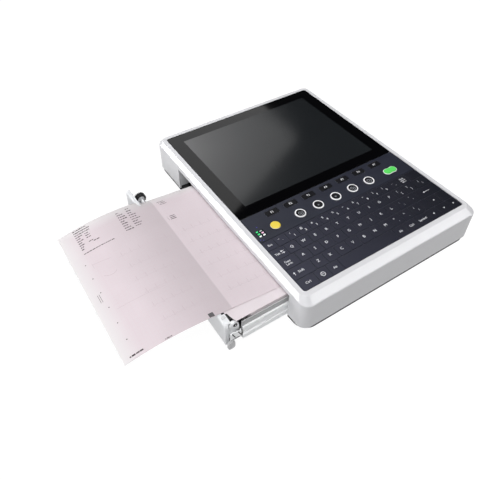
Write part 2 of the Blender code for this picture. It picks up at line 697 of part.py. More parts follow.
def drawer_front():
    """Face panel with a cap over the roller's near end, its upper near corner rounded off."""
    near, far = FACE_NEAR_END, OPENING_BACK - 0.6
    front = make("drawer_front", prism(front_profile(), near, far, "y"), DRAWER)
    add(front, box((DRAWER_FACE + 1, near, FRONT_TOP - 1.4), (-80.4, 31.0, FRONT_TOP)))
    add(front, prism(gear_cradle(), GEAR_FRONT - 4, 261.8, "y"))
    rounding = [(near + 6 - 6 * math.cos(turn), FRONT_TOP - 6 + 6 * math.sin(turn))
                for turn in (math.radians(90 * step / 5) for step in range(6))]
    above = FRONT_TOP + 1
    corner = [(near - 1, rounding[0][1])] + rounding + [(rounding[-1][0], above), (near - 1, above)]
    cut(front, prism(corner, DRAWER_FACE - 1, -79.0, "x"))
    return front


def roller_brackets():
    for end, low, floor in (("near", 17.4, TRAY_FLOOR + 2 + GAP), ("far", 227.5, FRONT_BOTTOM + 4)):
        outline = [
            (-84.0, floor), (-70.2, floor), (-70.2, -24.0),
            (-73.4, -15.2), (-79.6, -15.2), (-84.0, -20.0),
        ]
        bracket = make(f"bracket_{end}", prism(outline, low, low + 3.2, "y"), RAIL_GREY)
        cut(bracket, rod(ROLLER_X, ROLLER_Z, 3.5, low - 1, low + 5, "y"))
        bush = tube(ROLLER_X, ROLLER_Z, 3.2, SHAFT_RADIUS + GAP, low, low + 3.2, "y")
        make(f"bush_{end}", bush, ALUMINIUM)


def platen():
    origin = (ROLLER_X, 123.0, ROLLER_Z)
    back = GEAR_FRONT + GEAR_WIDTH
    bore = SHAFT_RADIUS + GAP
    shaft = rod(ROLLER_X, ROLLER_Z, SHAFT_RADIUS, 13.0, back + 2, "y", 20)
    make("platen_shaft", shaft, STEEL, origin, True)
    sleeve = tube(ROLLER_X, ROLLER_Z, ROLLER_RADIUS, bore, 22.0, 225.5, "y", 32)
    make("platen_roller", sleeve, RUBBER, origin, True)
    teeth = prism(gear_outline(ROLLER_X, ROLLER_Z, PLATEN_TEETH, 0.5), GEAR_FRONT, back, "y")
    gear = make("platen_gear", teeth, NYLON, origin)
    cut(gear, rod(ROLLER_X, ROLLER_Z, bore, GEAR_FRONT - 2, back + 2, "y"))


def sheet_drop(x):
    share = max(0.0, (SHEET_BEND - x) / (SHEET_BEND - SHEET_OUTER_END))
    return SHEET_DROOP * share ** 2.2


def paper():
    low = (PACK_LEFT, PACK_FRONT, TRAY_FLOOR + 2 + GAP)
    high = (PACK_LEFT + PAPER_LENGTH, PACK_FRONT + PAPER_WIDTH, PACK_TOP)
    make("paper_pack", box(low, high), PAPER)
    steps = 28
    rings = []
    for step in range(steps + 1):
        x = SHEET_OUTER_END + (SHEET_INNER_END - SHEET_OUTER_END) * step / steps
        near = SHEET_EDGE + SHEET_SLANT * (DRAWER_FACE - x)
        high = SHEET_TOP - sheet_drop(x)
        low = high - SHEET_THICK
        far = near + PAPER_WIDTH
        rings.append([(x, near, low), (x, far, low), (x, far, high), (x, near, high)])
    make("paper_sheet", loft(rings), PAPER)


def drawer_fittings():
    outline = rounded_rectangle(-86.4, 25.2, -81.6, 29.0, 1.4, 3)
    make("paper_sensor", prism(outline, FRONT_TOP + GAP, FRONT_TOP + 1.0), RAIL_GREY)
    side = [(-84.1, -27.0), (-84.1, -38.6), (-80.0, -39.4), (-70.6, -36.0), (-70.6, -29.0), (-80.0, -26.2)]
    latch = make("drawer_latch", prism(side, 12.4, 14.0, "y"), DRAWER, origin=(-71.4, 13.2, -32.5))
    add(latch, rod(-71.4, 13.2, 0.9, -39.4, -26.2, "z", 12))
    foot = rounded_rectangle(-87.4, -53.2, -78.6, -40.4, 3.6, 4)
    make("drawer_foot", prism(foot, 11.9, 14.6, "y"), RAIL_GREY)


clear_scene()
upper_housing()
base_tray()
feet()
display()
keypad_mat()
function_keys()
status_window()
boards()
printer()
gears()
mains_sockets()
data_sockets()
guide_rails()
drawer_tray()
drawer_front()
roller_brackets()
platen()
paper()
drawer_fittings()
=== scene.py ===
"""Looks of the ECG machine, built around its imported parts.

Lengths are in millimetres from the front-left corner of the dark control panel, with height zero at the
panel's top face. place() turns such a point into metres of the shared frame.
"""

import math
import random

import bpy
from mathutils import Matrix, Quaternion, Vector


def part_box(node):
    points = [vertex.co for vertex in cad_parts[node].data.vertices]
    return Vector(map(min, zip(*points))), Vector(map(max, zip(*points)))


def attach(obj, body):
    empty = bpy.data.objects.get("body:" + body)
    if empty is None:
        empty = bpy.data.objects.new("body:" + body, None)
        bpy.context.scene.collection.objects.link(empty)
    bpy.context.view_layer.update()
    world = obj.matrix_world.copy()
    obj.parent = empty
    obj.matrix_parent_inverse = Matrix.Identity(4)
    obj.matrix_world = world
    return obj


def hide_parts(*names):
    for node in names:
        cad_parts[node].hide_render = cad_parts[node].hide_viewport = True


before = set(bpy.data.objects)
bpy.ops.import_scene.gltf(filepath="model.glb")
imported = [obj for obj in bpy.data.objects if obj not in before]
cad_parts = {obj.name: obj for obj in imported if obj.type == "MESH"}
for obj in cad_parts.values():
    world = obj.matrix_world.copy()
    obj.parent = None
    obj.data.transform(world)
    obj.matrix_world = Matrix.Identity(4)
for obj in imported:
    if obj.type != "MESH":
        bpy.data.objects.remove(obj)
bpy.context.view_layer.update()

MM = 0.001
GAP = 0.3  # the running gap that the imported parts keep

ORIGIN = Vector((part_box("keypad_mat")[0].x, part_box("keypad_mat")[0].y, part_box("display_glass")[1].z))
ORIGIN -= Vector((GAP * MM, GAP * MM, 0))


def place(x, y, z):
    return ORIGIN + Vector((x, y, z)) * MM


def span(node):
    """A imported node's lowest and highest corners, in panel millimetres."""
    low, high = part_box(node)
    return (low - ORIGIN) / MM, (high - ORIGIN) / MM


def axis_of(node):
    """X and Z of the middle of a piece that turns about a line along Y."""
    low, high = span(node)
    return (low.x + high.x) / 2, (low.z + high.z) / 2


# Driving dimensions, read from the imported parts
LEFT, FRONT, SEAM = span("upper_housing")[0]
RIGHT, BACK = span("upper_housing")[1][:2]
BASE_BOTTOM = span("base_tray")[0].z
PANEL_WIDTH = span("display_glass")[1].x + GAP
PANEL_DEPTH = span("display_glass")[1].y + GAP
KEYPAD_DEPTH = span("keypad_mat")[1].y + GAP
PANEL_THICK = -span("display_glass")[0].z
CAP_BOTTOM = 1.25 - PANEL_THICK  # a pressed key still clears the deck
FACE = span("drawer_front")[0].x
BEHIND_FACE = FACE + 3.5  # just inside the drawer front's thickness
FACE_NEAR, FRONT_BOTTOM = span("drawer_front")[0][1:]
FACE_FAR, FRONT_TOP = span("drawer_front")[1][1:]
ROLLER = ROLLER_X, ROLLER_Z = axis_of("platen_shaft")
IDLER = axis_of("idler_gear")

PANEL_RADIUS = 3.5
BEZEL = 5.4
SIDE_CHAMFER = -LEFT - BEZEL
FRONT_CHAMFER = -FRONT - BEZEL
CHAMFER_DROP = 6.0
CORNER = 12.0
WALL = 2.5
UNDER = -60.0  # clear below the part, for cuts through the underside
BASE_INSET = 0.6
SKIRT_CORNER = 18.0
TONGUE = 2.9
TONGUE_TOP = -41.6
BASE_FLOOR = -47.0  # top of the base's floor, inside
LIP_TOP = -42.4
SKIRT_EDGE = 0.8  # rounding under the skirt
LEDGE_TOP = -2.0
CEILING = -4.0
OPENING_FRONT = 11.5
OPENING_BACK = 264.0
RIM_UNDER = -11.5
RETURN_END = 4.0
RETURN_BOTTOM = -42.0
RETURN_TOP = -5.5
SOCKET_BACK = 311.0  # how far in the deeper sockets reach

ROW_EDGES = (0.8, 17.5, 34.3, 51.0, 67.0, 82.0)
KEY_GROOVE = 0.9
KEY_CLEAR = 0.35
F_KEY_ROW = 117.3
F_KEY_SIZE = (18.0, 8.4)
ROUND_KEY_ROW = 96.8
ROUND_KEY_RADIUS = 7.0
COPY_KEY_RADIUS = 6.2
START_KEY_SIZE = (20.7, 10.9)
F_KEYS = [41.5 + 28.0 * number for number in range(7)]
ROUND_KEYS = [69.3 + 28.0 * number for number in range(5)]
COPY_KEY_X = 32.0
START_KEY_X = 219.1
STATUS_LOW = (4.2, 89.4)
STATUS_HIGH = (15.4, 100.4)
LCD_LOW = (19.2, 143.0)
LCD_HIGH = (230.4, 301.6)
TYPING_BACK = 82.4  # the plain field behind the typing keys starts here
EDGE = 0.8  # the outer keys stand this far inside the panel

INK = 0.03  # thickness of a printed legend

INLET = (64.0, -31.0)
SWITCH = (92.0, -31.0)
STUD = (112.0, -31.0)
USB = (158.0, -31.0)
NETWORK = (182.0, -30.0)
PATIENT = (290.0, -29.0)
BATTERY_LOW = (172.0, 20.0)
BATTERY_HIGH = (246.0, 80.0)
SPEAKER = (206.0, 222.0)

BORE = 2.3  # runs freely on the roller's shaft
RIB_BOTTOM = -40.0  # of the ribs behind the drawer's front
MODULE = 0.7
PLATEN_TEETH = 19
IDLER_TEETH = 24
PINION_TEETH = 12
PINION = (29.85, -30.3)
GEAR_FRONT = 245.0
GEAR_WIDTH = 7.0

SHEET_TOP = -12.4
SHEET_START = 8.0
SHEET_END = -190.46
SHEET_BEND = -92.0
SHEET_DROOP = 16.0
SHEET_EDGE = 33.0
SHEET_SLANT = 0.075
SHEET_WIDTH = 203.0
CREASE_X = -69.5
CREASE_SLANT = 0.036
FAR_SAG = 4.5
TRACE_LIFT = 0.04


# Shapes: a list of points and a list of faces that look outward


def rounded_rectangle(x0, y0, x1, y1, radius, steps=8):
    corners = ((x1, y1, 0), (x0, y1, 90), (x0, y0, 180), (x1, y0, 270))
    outline = []
    for x, y, start in corners:
        cx = x - math.copysign(radius, x - (x0 + x1) / 2)
        cy = y - math.copysign(radius, y - (y0 + y1) / 2)
        for step in range(steps + 1):
            turn = math.radians(start + 90 * step / steps)
            outline.append((cx + radius * math.cos(turn), cy + radius * math.sin(turn)))
    return outline


def circle(u, v, radius, steps=40):
    turns = [2 * math.pi * step / steps for step in range(steps)]
    return [(u + radius * math.cos(turn), v + radius * math.sin(turn)) for turn in turns]


def rectangle(u0, v0, u1, v1):
    return [(u0, v0), (u1, v0), (u1, v1), (u0, v1)]


def arc(u, v, radius, start, end, steps=6):
    """Points from one angle in degrees to another."""
    turns = [math.radians(start + (end - start) * step / steps) for step in range(steps + 1)]
    return [(u + radius * math.cos(turn), v + radius * math.sin(turn)) for turn in turns]


def bend(a, b, c, steps=6):
    """Points on a curve that leaves a towards b and reaches c from b."""
    points = []
    for step in range(steps + 1):
        t = step / steps
        weights = ((1 - t) ** 2, 2 * t * (1 - t), t * t)
        points.append(tuple(weights[0] * p + weights[1] * q + weights[2] * r for p, q, r in zip(a, b, c)))
    return points


def growing(x0, y0, x1, y1, radius, steps):
    """A rounded rectangle that can be asked for at any growth."""
    return lambda grow: rounded_rectangle(x0 - grow, y0 - grow, x1 + grow, y1 + grow, radius + grow, steps)


def around(x, y, size, radius, steps):
    """The same, from its middle and its size."""
    half, deep = size[0] / 2, size[1] / 2
    return growing(x - half, y - deep, x + half, y + deep, radius, steps)


def loft(rings):
    """Skin over equal rings of points, each anticlockwise seen from the far end."""
    count = len(rings[0])
    points = [point for ring in rings for point in ring]
    faces = [tuple(reversed(range(count)))]
    for level in range(len(rings) - 1):
        low, high = level * count, (level + 1) * count
        for i in range(count):
            j = (i + 1) % count
            faces.append((low + i, low + j, high + j, high + i))
    faces.append(tuple(range((len(rings) - 1) * count, len(rings) * count)))
    return points, faces


def swing(outline, level, axis):
    if axis == "z":
        return [(u, v, level) for u, v in outline]
    if axis == "x":
        return [(level, u, v) for u, v in outline]
    return [(u, level, v) for u, v in reversed(outline)]


def prism(outline, low, high, axis="z"):
    """Extrude an outline given in the two other axes, in X, Y, Z order."""
    return loft([swing(outline, level, axis) for level in (low, high)])


def box(low, high):
    return prism(rectangle(low[0], low[1], high[0], high[1]), low[2], high[2])


def turned(u, v, profile, axis, steps=40):
    """A solid of revolution; the profile is radius and level, starting and ending near the axis."""
    return loft([swing(circle(u, v, radius, steps), level, axis) for radius, level in profile])


def rod(u, v, radius, low, high, axis, edge=0.0, steps=40):
    if not edge:
        return turned(u, v, [(radius, low), (radius, high)], axis, steps)
    start = [(radius - edge + a, low + edge - b) for a, b in arc(0, 0, edge, 90, 0, 3)]
    end = [(radius - edge + a, high - edge + b) for a, b in arc(0, 0, edge, 0, 90, 3)]
    return turned(u, v, start + end, axis, steps)


def tube(u, v, outer, inner, low, high, axis, steps=40):
    """A ring with a bore, as one closed skin."""
    ends = ((outer, low), (outer, high), (inner, high), (inner, low))
    rings = [swing(circle(u, v, radius, steps), level, axis) for radius, level in ends]
    points = [point for ring in rings for point in ring]
    faces = []
    for ring in range(4):
        here, there = ring * steps, (ring + 1) % 4 * steps
        for i in range(steps):
            j = (i + 1) % steps
            faces.append((here + i, here + j, there + j, there + i))
    return points, faces


def cushion(outline_at, low, high, edge, steps=4):
    """A cap with a rounded upper edge; outline_at gives its outline for a given growth."""
    rings = [swing(outline_at(0.0), low, "z")]
    for grow, rise in arc(0, 0, edge, 0, 90, steps):
        rings.append(swing(outline_at(grow - edge), high - edge + rise, "z"))
    return loft(rings)


def joined(shapes):
    points, faces = [], []
    for more_points, more_faces in shapes:
        start = len(points)
        points += more_points
        faces += [tuple(index + start for index in face) for face in more_faces]
    return points, faces


def gear_outline(u, v, teeth, phase):
    """Teeth with a root, a flank and a tip, a little slimmer than their gaps."""
    pitch_radius = MODULE * teeth / 2
    root, tip = pitch_radius - 1.15 * MODULE, pitch_radius + MODULE * 0.95
    rising = [(-0.27, root), (-0.19, pitch_radius), (-0.11, tip)]
    flank = rising + [(-share, radius) for share, radius in reversed(rising)]
    outline = []
    for tooth in range(teeth):
        middle = (tooth + phase) * 2 * math.pi / teeth
        for share, radius in flank:
            turn = middle + share * 2 * math.pi / teeth
            outline.append((u + radius * math.cos(turn), v + radius * math.sin(turn)))
    return outline


# Blender objects


def mesh_object(name, shape, *looks):
    points, faces = shape
    mesh = bpy.data.meshes.new(name)
    mesh.from_pydata([place(*point) for point in points], [], faces)
    for look in looks:
        mesh.materials.append(look)
    obj = bpy.data.objects.new(name, mesh)
    bpy.context.scene.collection.objects.link(obj)
    return obj


def settle(obj):
    """Replace the mesh by what its modifiers make of it."""
    bpy.context.view_layer.update()
    ready = obj.evaluated_get(bpy.context.evaluated_depsgraph_get())
    mesh = bpy.data.meshes.new_from_object(ready)
    obj.modifiers.clear()
    obj.data = mesh


def combine(obj, shapes, operation):
    """Add or cut away shapes that are clear of each other."""
    tool = mesh_object("tool", joined(shapes))
    step = obj.modifiers.new("combine", "BOOLEAN")
    step.operation = operation
    step.solver = "EXACT"
    step.object = tool
    settle(obj)
    bpy.data.objects.remove(tool, do_unlink=True)
    return obj


def add(obj, *shapes):
    return combine(obj, shapes, "UNION")


def cut(obj, *shapes):
    return combine(obj, shapes, "DIFFERENCE")


def soften(obj, width, segments=2, angle=40):
    bevel = obj.modifiers.new("edges", "BEVEL")
    bevel.width = width * MM
    bevel.segments = segments
    bevel.limit_method = "ANGLE"
    bevel.angle_limit = math.radians(angle)
    bevel.harden_normals = True
    bevel.use_clamp_overlap = True
    return obj


def finish(obj, body, stands_for=(), angle=35):
    """Shade the piece, put it on its body and hide the imported parts it stands for."""
    obj.data.shade_smooth()
    obj.data.set_sharp_from_angle(angle=math.radians(angle))
    normals = obj.modifiers.new("normals", "WEIGHTED_NORMAL")
    normals.weight = 90
    normals.keep_sharp = True
    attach(obj, body)
    if stands_for:
        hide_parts(*stands_for)
    return obj


def paint(obj, index, wanted):
    """Give the faces whose middle, in panel millimetres, is wanted another of the object's materials."""
    for face in obj.data.polygons:
        middle = (face.center - ORIGIN) / MM
        if wanted(middle):
            face.material_index = index


# Materials


class Look:
    """A Principled material that grows nodes; sizes are in millimetres of the object."""

    def __init__(self, name, roughness=0.5, metallic=0.0, **sockets):
        self.material = bpy.data.materials.new(name)
        self.material.use_nodes = True
        self.nodes = self.material.node_tree.nodes
        self.shader = self.nodes["Principled BSDF"]
        self.coords = self.nodes.new("ShaderNodeTexCoord")
        self.shader.inputs["Roughness"].default_value = roughness
        self.shader.inputs["Metallic"].default_value = metallic
        for socket, value in sockets.items():
            self.shader.inputs[socket.replace("_", " ")].default_value = value

    def link(self, output, target):
        self.material.node_tree.links.new(output, target)

    def node(self, kind, **settings):
        made = self.nodes.new("ShaderNode" + kind)
        for key, value in settings.items():
            setattr(made, key, value)
        return made

    def split(self, source="Object"):
        made = self.node("SeparateXYZ")
        self.link(self.coords.outputs[source], made.inputs["Vector"])
        return made.outputs

    def noise(self, size, detail=2.0, stretch=(1, 1, 1), source="Object"):
        mapping = self.node("Mapping")
        mapping.inputs["Scale"].default_value = [factor / (size * MM) for factor in stretch]
        self.link(self.coords.outputs[source], mapping.inputs["Vector"])
        noise = self.node("TexNoise")
        noise.inputs["Scale"].default_value = 1.0
        noise.inputs["Detail"].default_value = detail
        self.link(mapping.outputs["Vector"], noise.inputs["Vector"])
        return noise.outputs["Fac"]

    def fit(self, value, low, high, start=0.25, end=0.75):
        made = self.node("MapRange")
        for key, number in (("From Min", start), ("From Max", end), ("To Min", low), ("To Max", high)):
            made.inputs[key].default_value = number
        self.link(value, made.inputs["Value"])
        return made.outputs["Result"]

    def math(self, operation, a, b=0.0):
        made = self.node("Math", operation=operation)
        for socket, value in zip(made.inputs, (a, b)):
            if isinstance(value, (int, float)):
                socket.default_value = value
            else:
                self.link(value, socket)
        return made.outputs[0]

    def blend(self, factor, a, b):
        made = self.node("Mix", data_type="RGBA")
        self.link(factor, made.inputs["Factor"])
        for socket, value in zip(("A", "B"), (a, b)):
            target = [i for i in made.inputs if i.name == socket and i.type == "RGBA"][0]
            if isinstance(value, tuple):
                target.default_value = (*value, 1.0)
            else:
                self.link(value, target)
        return [o for o in made.outputs if o.type == "RGBA"][0]

    def scaled(self, colour, factor):
        made = self.node("VectorMath", operation="SCALE")
        self.link(colour, made.inputs[0])
        self.link(factor, made.inputs["Scale"])
        return made.outputs[0]

    def colour(self, value):
        self.link(value, self.shader.inputs["Base Color"])
        return self

    def drift(self, colour, amount=0.05, size=25.0):
        """The colour, varying a little over the surface."""
        dark = tuple(part * (1 - amount) for part in colour)
        light = tuple(min(1.0, part * (1 + amount)) for part in colour)
        return self.blend(self.fit(self.noise(size, 3.0), 0.0, 1.0), dark, light)

    def uneven(self, low, high, size=12.0, stretch=(1, 1, 1)):
        self.link(self.fit(self.noise(size, 3.0, stretch), low, high), self.shader.inputs["Roughness"])
        return self

    def bump(self, height, strength, depth):
        made = self.node("Bump")
        made.inputs["Strength"].default_value = strength
        made.inputs["Distance"].default_value = depth * MM
        self.link(height, made.inputs["Height"])
        self.link(made.outputs["Normal"], self.shader.inputs["Normal"])
        return self


def plastic(name, colour, roughness, grain=0.35, strength=0.35, drift=0.04, **sockets):
    look = Look(name, roughness, **sockets)
    look.colour(look.drift(colour, drift))
    look.uneven(roughness * 0.88, roughness * 1.12)
    look.bump(look.noise(grain, 2.0), strength, 0.02)
    return look.material


def brushed(name, colour, roughness, stretch=(1, 30, 30)):
    """Metal with fine lines along one direction and faint smudges."""
    look = Look(name, roughness, 1.0)
    lines = look.noise(6.0, 3.0, stretch)
    dark = tuple(part * 0.82 for part in colour)
    look.colour(look.blend(look.fit(lines, 0.0, 1.0), dark, colour))
    look.uneven(roughness * 0.8, roughness * 1.3, 15.0)
    look.bump(lines, 0.25, 0.02)
    return look.material


def inside(look, low, high, edge):
    """1 inside a rectangle of the panel and 0 outside, with a soft edge, in panel millimetres."""
    mask = None
    for axis, offset, start, end in (("X", ORIGIN.x, low[0], high[0]), ("Y", ORIGIN.y, low[1], high[1])):
        for edge_at, rises in ((start, 1.0), (end, 0.0)):
            here = offset + edge_at * MM
            side = look.fit(look.split()[axis], 1.0 - rises, rises, here - edge * MM, here + edge * MM)
            mask = side if mask is None else look.math("MULTIPLY", mask, side)
    return mask


def cover_glass():
    """Black printed border, with the display's grey polariser behind the clear window and a painted
    reflection on it, lighter towards the left and the back.
    """
    look = Look("cover_glass", 0.04, Specular_IOR_Level=0.42)
    mask = inside(look, LCD_LOW, LCD_HIGH, 0.35)
    left, near = ORIGIN.x + LCD_LOW[0] * MM, ORIGIN.y + LCD_LOW[1] * MM
    right, far = ORIGIN.x + LCD_HIGH[0] * MM, ORIGIN.y + LCD_HIGH[1] * MM
    # painted reflection of the softboxes: the window's grey lightens towards the left and the back
    across = look.fit(look.split()["X"], 1.0, 0.0, left, right)
    along = look.fit(look.split()["Y"], 0.12, 1.0, near, far)
    painted_reflection = look.math("MULTIPLY", look.math("POWER", across, 3.0), along)
    brightness = look.blend(painted_reflection, (0.010, 0.0115, 0.013), (0.10, 0.10, 0.102))
    cloud = look.fit(look.noise(140.0, 1.0), 0.85, 1.15)
    look.colour(look.blend(mask, (0.0004, 0.0004, 0.0008), look.scaled(brightness, cloud)))
    matt = look.fit(mask, 0.05, 0.11, 0.0, 1.0)
    smudge = look.fit(look.noise(35.0, 4.0), -0.012, 0.02)
    look.link(look.math("ADD", matt, smudge), look.shader.inputs["Roughness"])
    return look.material


def typing_look():
    """Bluish silicone with a painted reflection: lighter at the left-hand keys and darker towards the right.
    """
    look = Look("typing_silicone", 0.42, Specular_IOR_Level=0.35)
    across = look.fit(look.split()["X"], 0.0, 1.0, ORIGIN.x, ORIGIN.x + PANEL_WIDTH * MM)
    # painted reflection: the keys' colour darkens from left to right across the panel
    look.colour(look.blend(across, (0.020, 0.021, 0.038), (0.0035, 0.004, 0.009)))
    look.uneven(0.38, 0.46)
    look.bump(look.noise(0.45, 2.0), 0.3, 0.02)
    return look.material


def paper_look():
    """Pink chart paper: a 1 mm grid with 5 mm lines, a pale margin and shade where nothing backs it."""
    look = Look("chart_paper", 0.82, Specular_IOR_Level=0.25)
    along, across = look.split("UV")[:2]
    ground = look.drift((0.572, 0.515, 0.542), 0.03, 40.0)
    lines = None
    for pitch, width, depth in ((1.0, 0.13, 0.35), (5.0, 0.16, 0.6)):
        for distance in (along, across):
            near = look.math("LESS_THAN", look.math("MODULO", distance, pitch), width)
            shade = look.math("MULTIPLY", near, depth)
            lines = shade if lines is None else look.math("MAXIMUM", lines, shade)
    inked = look.math("MULTIPLY", lines, look.fit(along, 1.0, 0.0, 186.0, 198.0))
    gridded = look.blend(inked, ground, (0.58, 0.40, 0.45))
    outer_margin = look.fit(along, 0.0, 1.0, 176.0, 200.0)
    far_margin = look.fit(across, 0.0, 0.8, 186.0, 199.0)
    edged = look.blend(look.math("MAXIMUM", outer_margin, far_margin), gridded, (0.62, 0.60, 0.605))
    past_crease = look.fit(along, 0.0, 1.0, 77.0, 78.4)
    outward = look.fit(along, 0.81, 1.05, 78.0, 160.0)
    backed = look.math("SUBTRACT", 1.0, past_crease)
    look.colour(look.scaled(edged, look.math("ADD", look.math("MULTIPLY", past_crease, outward), backed)))
    look.bump(look.noise(0.5, 3.0), 0.15, 0.02)
    return look.material


def board_look():
    """Green solder mask with paler copper tracks under it."""
    look = Look("circuit_board", 0.35)
    tracks = look.node("TexBrick", offset=0.5)
    mapping = look.node("Mapping")
    mapping.inputs["Scale"].default_value = (160, 160, 160)
    look.link(look.coords.outputs["Object"], mapping.inputs["Vector"])
    look.link(mapping.outputs["Vector"], tracks.inputs["Vector"])
    tracks.inputs["Mortar Size"].default_value = 0.03
    tracks.inputs["Color1"].default_value = (0.012, 0.10, 0.045, 1)
    tracks.inputs["Color2"].default_value = (0.014, 0.12, 0.05, 1)
    tracks.inputs["Mortar"].default_value = (0.05, 0.25, 0.11, 1)
    look.colour(tracks.outputs["Color"])
    look.bump(tracks.outputs["Fac"], 0.3, 0.03)
    return look.material


def lamp(name, colour, brightness):
    look = Look(name, 0.35)
    look.colour(look.drift(colour, 0.08, 3.0))
    look.shader.inputs["Emission Color"].default_value = (*colour, 1.0)
    look.shader.inputs["Emission Strength"].default_value = brightness
    return look.material


WHITE = plastic("white_plastic", (0.60, 0.60, 0.62), 0.45, 0.3, 0.12, 0.012,
                Specular_IOR_Level=0.15, Coat_Weight=0.55, Coat_Roughness=0.10)
BLACK = plastic("black_plastic", (0.008, 0.008, 0.010), 0.55, 0.4, 0.6, 0.2, Specular_IOR_Level=0.12)
GLASS = cover_glass()
SILICONE = plastic("silicone", (0.0125, 0.0145, 0.0265), 0.42, 0.45, 0.35, 0.10, Specular_IOR_Level=0.4)
KEYS = typing_look()
PRINT = plastic("legend_print", (0.84, 0.85, 0.88), 0.6, 0.4, 0.3, 0.06)
ICON = plastic("icon_print", (0.22, 0.23, 0.25), 0.6, 0.4, 0.3, 0.06)
KEY_BLACK = plastic("key_black", (0.006, 0.006, 0.008), 0.3, 0.5, 0.3, 0.2, Specular_IOR_Level=0.25)
KEY_WHITE = plastic("key_white", (0.84, 0.84, 0.86), 0.35, 0.4, 0.3)
KEY_YELLOW = plastic("key_yellow", (0.74, 0.57, 0.055), 0.4, 0.5, 0.4, 0.05)
KEY_GREEN = plastic("key_green", (0.085, 0.62, 0.10), 0.4, 0.5, 0.4, 0.06)
WINDOW = plastic("light_window", (0.018, 0.022, 0.026), 0.12, 0.6, 0.1, 0.2)
GREEN_LAMP = lamp("green_lamp", (0.03, 0.55, 0.16), 0.35)
WHITE_LAMP = lamp("white_lamp", (0.80, 0.86, 0.84), 0.25)
PINK_LAMP = lamp("pink_lamp", (0.80, 0.45, 0.60), 0.25)
BLUE_LAMP = lamp("blue_lamp", (0.05, 0.04, 0.45), 0.25)
DRAWER_WHITE = plastic("drawer_white", (0.68, 0.69, 0.71), 0.38, 0.35, 0.35, 0.02)
TRAY_GREY = plastic("tray_grey", (0.40, 0.40, 0.405), 0.5, 0.4, 0.2, 0.02)
RUNNER = plastic("runner_white", (0.90, 0.91, 0.92), 0.28, 0.5, 0.1, 0.01)
MID_GREY = plastic("mid_grey", (0.55, 0.55, 0.56), 0.45, 0.4, 0.2, 0.02)
LATCH_WHITE = plastic("latch_white", (0.90, 0.91, 0.92), 0.2, 0.5, 0.1, 0.01)
MARK_GREY = plastic("mark_grey", (0.075, 0.07, 0.075), 0.6, 0.4, 0.4, 0.1)
PAPER = paper_look()
PAPER_INK = plastic("thermal_ink", (0.06, 0.045, 0.05), 0.75, 0.5, 0.2, 0.25)
TRACE_INK = plastic("trace_ink", (0.47, 0.385, 0.42), 0.75, 0.5, 0.2, 0.1)
PACK_PAPER = plastic("folded_paper", (0.635, 0.575, 0.60), 0.8, 0.5, 0.3, 0.04)
RUBBER = plastic("roller_rubber", (0.012, 0.012, 0.013), 0.62, 0.5, 0.6, 0.2)
FOOT_RUBBER = plastic("foot_rubber", (0.02, 0.02, 0.021), 0.75, 0.6, 0.7, 0.2)
STEEL = brushed("steel", (0.56, 0.56, 0.58), 0.28)
ALUMINIUM = brushed("aluminium", (0.68, 0.69, 0.71), 0.36)
GOLD = brushed("contact_gold", (0.75, 0.56, 0.22), 0.3)
BOARD = board_look()
NYLON = plastic("black_nylon", (0.016, 0.016, 0.017), 0.4, 0.4, 0.4, 0.15)
BATTERY = plastic("battery_wrap", (0.025, 0.07, 0.22), 0.3, 1.2, 0.3, 0.06)
SOCKET = plastic("socket_black", (0.018, 0.018, 0.019), 0.42, 0.35, 0.5, 0.15)
CERAMIC = plastic("head_ceramic", (0.42, 0.38, 0.32), 0.25, 0.6, 0.3, 0.06)


# Housing


def housing_ring(share, height):
    """The housing's outline after a share of its chamfer, which is wider at the front."""
    side, front = share * SIDE_CHAMFER, share * FRONT_CHAMFER
    radius = CORNER - 4.0 * share
    outline = rounded_rectangle(LEFT + side, FRONT + front, RIGHT - side, BACK - side, radius, 12)
    return swing(outline, height, "z")


def panel_ring(grow, height):
    return swing(growing(0, 0, PANEL_WIDTH, PANEL_DEPTH, PANEL_RADIUS, 12)(grow), height, "z")


def inset_ring(inset, height, radius, front_inset=None):
    """An outline inset from the housing's sides."""
    front = FRONT + (inset if front_inset is None else front_inset)
    outline = rounded_rectangle(LEFT + inset, front, RIGHT - inset, BACK - inset, radius, 12)
    return swing(outline, height, "z")


def back_block(centre, size, front, back, radius=0.0):
    """A block at the back wall, centred on x and z; size is its width and height."""
    if radius:
        outline = around(*centre, size, radius, 4)(0.0)
    else:
        x, z = centre
        outline = rectangle(x - size[0] / 2, z - size[1] / 2, x + size[0] / 2, z + size[1] / 2)
    return prism(outline, front, back, "y")


